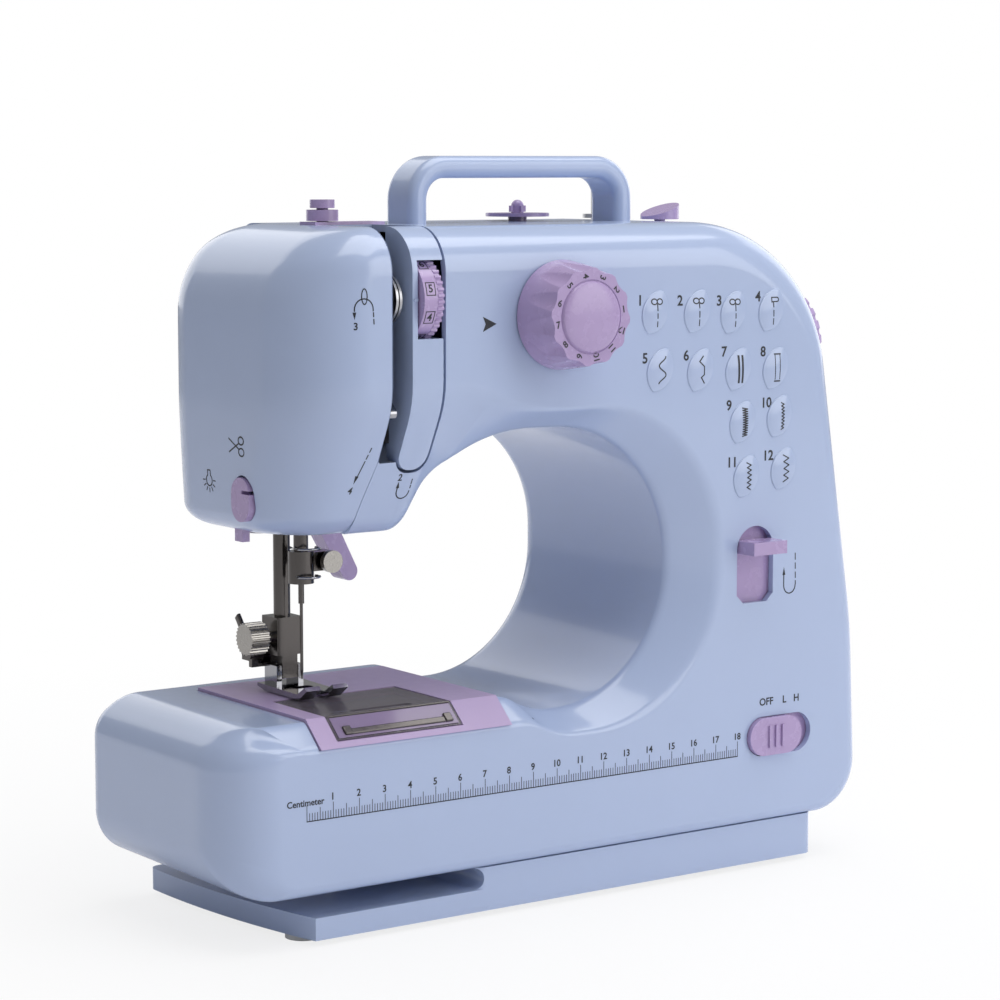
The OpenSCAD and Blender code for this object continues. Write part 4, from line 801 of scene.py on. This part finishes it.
def filled(*points):
    return list(points), [list(range(len(points)))]


def moved(shape, x, z, turn=0.0):
    c, s = math.cos(math.radians(turn)), math.sin(math.radians(turn))
    return [(x + c * u - s * v, z + s * u + c * v) for u, v in shape[0]], shape[1]


def surface_of(*objects):
    pts, faces = [], []
    for o in objects:
        me = evaluated(o).to_mesh()
        k = len(pts)
        pts += [v.co.copy() for v in me.vertices]
        faces += [[i + k for i in f.vertices] for f in me.polygons]
    return BVHTree.FromPolygons(pts, faces)


def print_on(name, art, tree, body="housing", side="front"):
    """Ink laid on a surface: art in x and z on the front, or in -y and z on the left end."""
    pts = []
    for u, v in art[0]:
        if side == "front":
            start, way = P(u, -60, v), Vector((0, 1, 0))
        else:
            start, way = P(-60, -u, v), Vector((1, 0, 0))
        hit = tree.ray_cast(start, way)[0]
        pts.append((hit if hit else start + way * 0.06) - way * LIFT)
    o = mesh_object(name, pts, art[1], INK)
    place(o, body)
    ink_film(o)


RULER_X, RULER_Z, RULER_CM = 29, 42.5, 18


def ruler():
    shapes = [line([(RULER_X, RULER_Z), (RULER_X + 10 * RULER_CM, RULER_Z)], 0.34)]
    for i in range(10 * RULER_CM + 1):
        h = 5.3 if i % 10 == 0 else 4.2 if i % 5 == 0 else 2.6
        shapes.append(line([(RULER_X + i, RULER_Z), (RULER_X + i, RULER_Z + h)], 0.22))
    for i in range(1, RULER_CM + 1):
        shapes.append(moved(glyph(str(i), FIGURE), RULER_X + 10 * i - 0.2, 49.6))
    shapes.append(moved(glyph("Centimeter", 2.1), 28.5, 48.6))
    return shapes


STITCH_NUMBERS = [
    (163.8, 206.2), (181.3, 205.7), (198.8, 205.2), (216.5, 206.2),
    (166.1, 186.3), (184.2, 186.6), (201.2, 187.3), (219.1, 186.7),
    (203.7, 168.3), (220.8, 168.5), (205.3, 148.1), (221.9, 149.6),
]


def front_art():
    """The ruler, the stitch numbers, and the marks of the switch, the dial and the reverse lever."""
    shapes = ruler()
    shapes += [moved(glyph(str(i + 1), 3.5), x, z) for i, (x, z) in enumerate(STITCH_NUMBERS)]
    shapes += [moved(glyph(text, 2.6), x, 60.8) for text, x in (("OFF", 222.3), ("L", 230.8), ("H", 236.5))]
    shapes += [
        filled((98.2, 202.8), (99.3, 200.3), (98.2, 197.8), (103.7, 200.3)),
        line([(235.2, 113.7), (235.4, 102.6)], dashes=[(0, 0.2), (0.32, 0.5), (0.62, 0.8), (0.9, 1)]),
        line(arc(232.6, 102.4, 2.7, 3, 0, -180) + [(229.9, 106.5)]),
        filled((229.3, 106.2), (230.6, 106.2), (229.95, 109)),
    ]
    return drawing(*shapes)


def zigzag(x, z, w, h, n):
    return line([(x + (w / 2 if i % 2 else -w / 2), z + h / 2 - h * i / n) for i in range(n + 1)], 0.42)


def straight_stitch(x, z, dashes):
    return line([(x - 0.1, z + 2.7), (x + 0.2, z - 5)], 0.42, dashes)


def bow(x, z):
    return [line(arc(x + side * 1.15 - 0.2, z + 3.6, 1.15, 0.95, 0, 360, 16), 0.42) for side in (-1, 1)]


def flag(x, z):
    return line([(x - 0.8, z + 2.8), (x - 0.8, z + 4.5), (x + 1.6, z + 4.5)] +
                arc(x + 1.4, z + 3.75, 0.95, 0.75, 90, -90, 8) + [(x - 0.8, z + 3.0)], 0.42)


def picture(i, x, z):
    """The strokes of stitch picture i, from 0, round (x, z)."""
    three = [(0, 0.28), (0.42, 0.62), (0.78, 1)]
    wide_three = [(0, 0.2), (0.36, 0.62), (0.74, 1)]
    top, foot = z + 4.6, z - 4.6
    if i < 3:
        return bow(x, z) + [straight_stitch(x, z, wide_three if i == 1 else three)]
    if i == 3:
        return [flag(x, z), straight_stitch(x, z, wide_three)]
    if i == 4:
        return [line([(x + 1.5 * math.cos(t * 0.42), top - t * 0.42) for t in range(23)], STRONG_PEN)]
    if i == 5:
        return [line([(x + 0.4, z + 4.8), (x - 1.3, z + 3), (x + 0.7, z + 1.2), (x + 0.7, z - 1.6),
                      (x - 0.6, z - 2.6), (x + 1, foot)], STRONG_PEN)]
    if i == 6:
        return [line([(x + side, top), (x + side + 0.2, foot)], 0.85) for side in (-0.85, 0.85)]
    if i == 7:
        dots = [(k / 14, k / 14 + 0.04) for k in range(14)]
        sides = [line([(x + side, top), (x + side, z - 4.2)], FINE_PEN, dots) for side in (-1.1, 1.1)]
        return sides + [line([(x - 1.3, end), (x + 1.3, end)], 0.5) for end in (z + 5, foot)]
    shift, w, h, n = {8: (0.3, 2.2, 10, 24), 9: (0.6, 1.2, 9.6, 16), 10: (0.3, 1.8, 9.6, 11),
                      11: (0.3, 2.4, 9.6, 8)}[i]
    return [zigzag(x + shift, z, w, h, n)]


pictures = drawing(*[stroke for i, (x, z) in enumerate(LEAVES) for stroke in picture(i, x + 0.3, z)])
head_art = drawing(
    line([(48.8, 206)] + arc(52.05, 206.5, 3.25, 3.4, 180, 0) + [(55.3, 206)]),
    line(arc(52.2, 210.6, 0.95, 2.5, 0, 360, 20), 0.35),
    line([(55.4, 205.4), (55.6, 201.8)], dashes=[(0, 0.35), (0.6, 1)]),
    filled((48.2, 205.6), (49.4, 205.6), (48.8, 203.2)),
    moved(glyph("3", FIGURE), 49.2, 201),
)
lean_art = drawing(
    line([(58.6, 161), (55.7, 150.5)], dashes=[(0, 0.12), (0.22, 0.34), (0.42, 1)]),
    filled((55.1, 151.8), (56.5, 151.5), (55.2, 148.9)),
    moved(glyph("4", FIGURE), 54.6, 146.6, -8),
)
arm_art = drawing(
    line([(73.2, 146.5)] + arc(75.7, 145.2, 2.5, 2.5, 180, 360)),
    line([(78.3, 146.2), (78.4, 149.2)], dashes=[(0, 0.3), (0.5, 1)]),
    filled((72.6, 146.4), (73.9, 146.4), (73.2, 148.7)),
    moved(glyph("2", FIGURE), 73.3, 150),
)


def end_art():
    """Scissors and a lamp on the left end, drawn in -y and z."""
    shapes = []
    u, v = -43.5, 160.5
    for side in (-1, 1):
        shapes.append(line([(u - 4.6, v - side * 2.2), (u + 1.6, v + side * 0.9)], 0.5))
        shapes.append(line(arc(u + 3.2, v + side * 1.9, 1.7, 1.3, 0, 360, 16), 0.5))
    u, v = -62.6, 147.5
    shapes.append(line(arc(u, v, 1.9, 1.9, 60, -240, 16), STRONG_PEN))
    cap = [(u - 0.9, v + 1.7), (u - 0.9, v + 3.4), (u + 0.9, v + 3.4), (u + 0.9, v + 1.7)]
    shapes.append(line(cap, STRONG_PEN))
    for a in (-150, -120, -90, -60, -30, 0, 180):
        shapes.append(line([around(u, v, 2.7, a), around(u, v, 4, a)]))
    return drawing(*shapes)


def dial_art():
    """Figures round the stitch dial, one at each scallop."""
    shapes = []
    for i in range(SCALLOPS):
        a = FIRST_SCALLOP + 360 / SCALLOPS * i
        shapes.append(moved(glyph(str(i + 1), FIGURE), *around(DIAL_X, DIAL_Z, 13.7, a), a - 180))
    return drawing(*shapes)


front_face = surface_of(front, back)
print_on("front_print", front_art(), front_face)
print_on("picture_print", pictures, surface_of(leaf_piece, front))
cover_face = surface_of(cover)
print_on("head_print", head_art, cover_face)
print_on("lean_print", lean_art, cover_face)
print_on("arm_print", arm_art, front_face)
print_on("end_print", end_art(), cover_face, side="left")
print_on("dial_print", dial_art(), surface_of(dial), body="stitch")


# ---------------------------------------------------------------- tension dial
def tension_print():
    """Boxed figures round the dial's smooth band."""
    pts, faces = [], []
    r = TENSION_R - 0.25
    box = line([(-1.7, -2.1), (1.7, -2.1), (1.7, 2.1), (-1.7, 2.1), (-1.7, -2.1)], FINE_PEN)
    for i in range(9):
        middle = math.radians(180 - 15.3 - 40 * (i - 5))
        figure = drawing(glyph(str(i), 2.6), box)
        k = len(pts)
        for u, v in figure[0]:
            a = middle - v / r
            pts.append((TENSION_X + 2.6 + u, TENSION_Y + r * math.cos(a), TENSION_Z + r * math.sin(a)))
        faces += [[j + k for j in f] for f in figure[1]]
    o = mesh_object("tension_print", in_metres(pts), faces, INK)
    place(o, "tension")
    ink_film(o)


tension_print()
mark = round_rect(STRIP0 + 0.4, TENSION_Z - 0.5, TENSION_X - 0.7, TENSION_Z + 0.5, 0.3)
make("tension_mark", *prism(mark, "y", -0.5, 1), BLUE, "housing", slot="body_blue")


# ---------------------------------------------------------------- bobbin cover's latch and sill
def slope(along, out):
    """A point in y and z on the needle plate's front slope: along it from its top, and out from it."""
    d = math.hypot(SLOPE_Y, SLOPE_DROP)
    return (SLOPE_Y - SLOPE_Y * along / d - SLOPE_DROP * out / d,
            SLOPE_Z - SLOPE_DROP * along / d + SLOPE_Y * out / d)


def slope_bar(name, x0, x1, along, out, mat, body, slot):
    """A bar on the slope from x0 to x1, with (from, to) pairs along it and out from it."""
    (a0, a1), (o0, o1) = along, out
    ring = [slope(a0, o0), slope(a1, o0), slope(a1, o1), slope(a0, o1)]
    ease(make(name, *prism(ring, "x", x0, x1), mat, body, slot=slot), 0.35, 2, 30)


slope_bar("cover_sill", COVER0 - 0.5, COVER1 + 0.5, (0.5, 9.5), (-3.2, -2.4), LILAC_PALE, "housing", "lilac")
slope_bar("latch_bar", 47, 85, (6.2, 8.4), (-0.2, 0.7), GUNMETAL, "cover", "smoke")
slope_bar("latch_end_45", 45.5, 48.5, (5.0, 8.4), (-0.2, 0.9), GUNMETAL, "cover", "smoke")
slope_bar("latch_end_85", 85, 88, (5.0, 8.4), (-0.2, 0.9), GUNMETAL, "cover", "smoke")
# The cover's front: a darker lilac painted on the smoked cover's slope. It stands in for the lit lilac sill
# seen through the cover, which lies in shadow under it here.
slope_bar("cover_front", COVER0 + 1.2, COVER1 - 1.2, (0.9, 9.3), (0.02, 0.14), LILAC_DEEP, "cover", "smoke")
slope_bar("cover_rim", COVER0 + 0.6, COVER1 - 0.6, (-0.1, 0.5), (-0.1, 0.25), GUNMETAL, "cover", "smoke")

# ---------------------------------------------------------------- needle and foot details
WIRE_R = 0.45
wire_section = [(WIRE_R * math.cos(2 * math.pi * i / 10), WIRE_R * math.sin(2 * math.pi * i / 10))
                for i in range(10)]
for tag, z in (("upper", 124.2), ("lower", 114.6)):
    path = [(NEEDLE_X - 3.6, NEEDLE_Y + 1, z)]
    for degrees in range(150, 391, 20):
        a = math.radians(degrees)
        path.append((NEEDLE_X + 4 * math.cos(a), NEEDLE_Y - 4 + 3 * math.sin(a) - 1, z))
    sweep("guide_wire_" + tag, path, wire_section, CHROME, "needle", slot="chrome", angle=60)
lathe("foot_drum", [(0, -3.6), (2.6, -3.6), (3.1, -3.1), (3.1, 3.1), (2.6, 3.6), (0, 3.6)],
      (NEEDLE_X, 60.7, 80.6), "x", CHROME, "foot", segments=48, slot="chrome")
tail = [(NEEDLE_X - 8.5, 70 + 0.9 * i, 86.5 + 1.9 * i - 0.06 * i * i) for i in range(9)]
sweep("release_tail", tail, round_rect(-0.7, -1.5, 0.7, 1.5, 0.6, 4), GUNMETAL, "release",
      slot="dark_plastic", angle=50)


# ---------------------------------------------------------------- studio
def math_node(tree, operation, first, second):
    node = add_node(tree, "Math")
    node.operation = operation
    tree.links.new(first, node.inputs[0])
    tree.links.new(second, node.inputs[1])
    return node.outputs[0]


def seen_directly(tree):
    """1 for rays from the camera and for rays through clear parts."""
    path = add_node(tree, "LightPath")
    return math_node(tree, "MAXIMUM", path.outputs["Is Camera Ray"], path.outputs["Is Transmission Ray"])


def studio_floor():
    """A pale floor that keeps the object's shadow and fades to white away from it."""
    half = 6
    corners = [(-half, -half, 0), (half, -half, 0), (half, half, 0), (-half, half, 0)]
    me = bpy.data.meshes.new("floor")
    me.from_pydata(corners, [], [[0, 1, 2, 3]])
    floor = link("floor", me)
    m, tree, shader = new_material("floor_white")
    shader.inputs["Base Color"].default_value = (0.9, 0.9, 0.92, 1)
    shader.inputs["Roughness"].default_value = 0.7
    direct = seen_directly(tree)
    white = add_node(tree, "Emission", Color=(1, 1, 1, 1), Strength=1.0)
    distance = add_node(tree, "VectorMath")
    distance.operation = "LENGTH"
    tree.links.new(add_node(tree, "NewGeometry").outputs["Position"], distance.inputs[0])
    fade = add_node(tree, "MapRange", From_Min=0.16, From_Max=0.5, To_Min=0.8, To_Max=1.0)
    tree.links.new(distance.outputs["Value"], fade.inputs["Value"])
    mix = add_node(tree, "MixShader")
    tree.links.new(math_node(tree, "MULTIPLY", direct, fade.outputs["Result"]), mix.inputs[0])
    tree.links.new(shader.outputs[0], mix.inputs[1])
    tree.links.new(white.outputs[0], mix.inputs[2])
    tree.links.new(mix.outputs[0], tree.nodes["Material Output"].inputs[0])
    me.materials.append(m)


def aim(o, location, target):
    o.location = location
    o.rotation_euler = (Vector(target) - Vector(location)).to_track_quat("-Z", "Y").to_euler()


def area_light(name, location, aim_z, size, power):
    d = bpy.data.lights.new(name, "AREA")
    d.energy = power
    d.size = size
    aim(link(name, d), location, (0, 0, aim_z))


studio_floor()
area_light("top_soft", (0.25, -0.25, 1.6), 0.1, 1.4, 19)
area_light("front_soft", (1.0, -1.6, 0.8), 0.12, 1.3, 12)
area_light("left_low", (-1.7, 0.4, 0.6), 0.12, 1.2, 0.3)
area_light("right_fill", (1.6, 0.5, 0.7), 0.12, 1.2, 6)
area_light("back_fill", (0.0, 1.8, 0.8), 0.12, 1.4, 7)

world = bpy.data.worlds.new("soft_room")
bpy.context.scene.world = world
world.use_nodes = True
room = world.node_tree
background = room.nodes["Background"]
background.inputs["Color"].default_value = (1, 1, 1, 1)
level = add_node(room, "MapRange", To_Min=0.29, To_Max=1.0)
room.links.new(seen_directly(room), level.inputs["Value"])
room.links.new(level.outputs["Result"], background.inputs["Strength"])

camera_data = bpy.data.cameras.new("photo_camera")
camera_data.lens = 104.69
camera_data.sensor_width = 36
camera = link("photo_camera", camera_data)
aim(camera, (-0.58755, -0.8238, 0.2532), (-0.03165, -0.0395, 0.14165))
bpy.context.scene.camera = camera
bpy.context.scene.view_settings.view_transform = "Standard"

# ---------------------------------------------------------------- CAD nodes that stay
LOOKS = (
    (BLUE, "base_tray carry_handle"),
    (LILAC, "tension_dial reverse_lever power_switch handwheel presser_lifter thread_cutter light_switch "
            "spool_pin spool_disc winder_stop pretension_guide"),
    (LILAC_PALE, "needle_plate"),
    (SMOKE, "bobbin_cover"),
    (WHITE, "rubber_feet"),
    (DARK, "bobbin_case drive_pulley timing_pulley lower_pulley motor_pulley shaft_bearings head_frame "
           "power_jack pedal_jack"),
    (STEEL, "feed_dog rotary_hook hook_gear tension_discs main_shaft crank_disc connecting_rod motor_can "
            "lower_shaft lower_gear presser_spring housing_screws bobbin_spindle"),
    (CHROME, "take_up_lever presser_foot"),
    (GUNMETAL, "release_lever needle_bar needle_clamp needle presser_bar foot_holder"),
    (NICKEL, "clamp_screw foot_screw"),
    (BELT, "drive_belt timing_belt"),
    (CLEAR, "bobbin lamp_lens stitch_cam"),
    (BOARD, "circuit_board"),
)
for mat, names in LOOKS:
    for name in names.split():
        o = nodes[name]
        for s in o.material_slots:
            s.material = mat
        if not o.material_slots:
            o.data.materials.append(mat)

SOFTEN = {  # bevels on the solids' edges, in millimetres
    "reverse_lever": 0.9, "power_switch": 0.5, "thread_cutter": 0.6, "light_switch": 0.5,
    "handwheel": 0.4, "winder_stop": 0.6, "presser_lifter": 1.0, "spool_disc": 0.2,
    "pretension_guide": 0.25, "needle_clamp": 0.3, "clamp_screw": 0.3, "foot_holder": 0.4,
    "foot_screw": 0.3, "presser_foot": 0.3, "needle_plate": 0.3, "release_lever": 0.4,
    "base_tray": 0.6, "tension_dial": 0.15, "rubber_feet": 0.4,
}
for name, width in SOFTEN.items():
    ease(nodes[name], width, 3, 40, first=False)
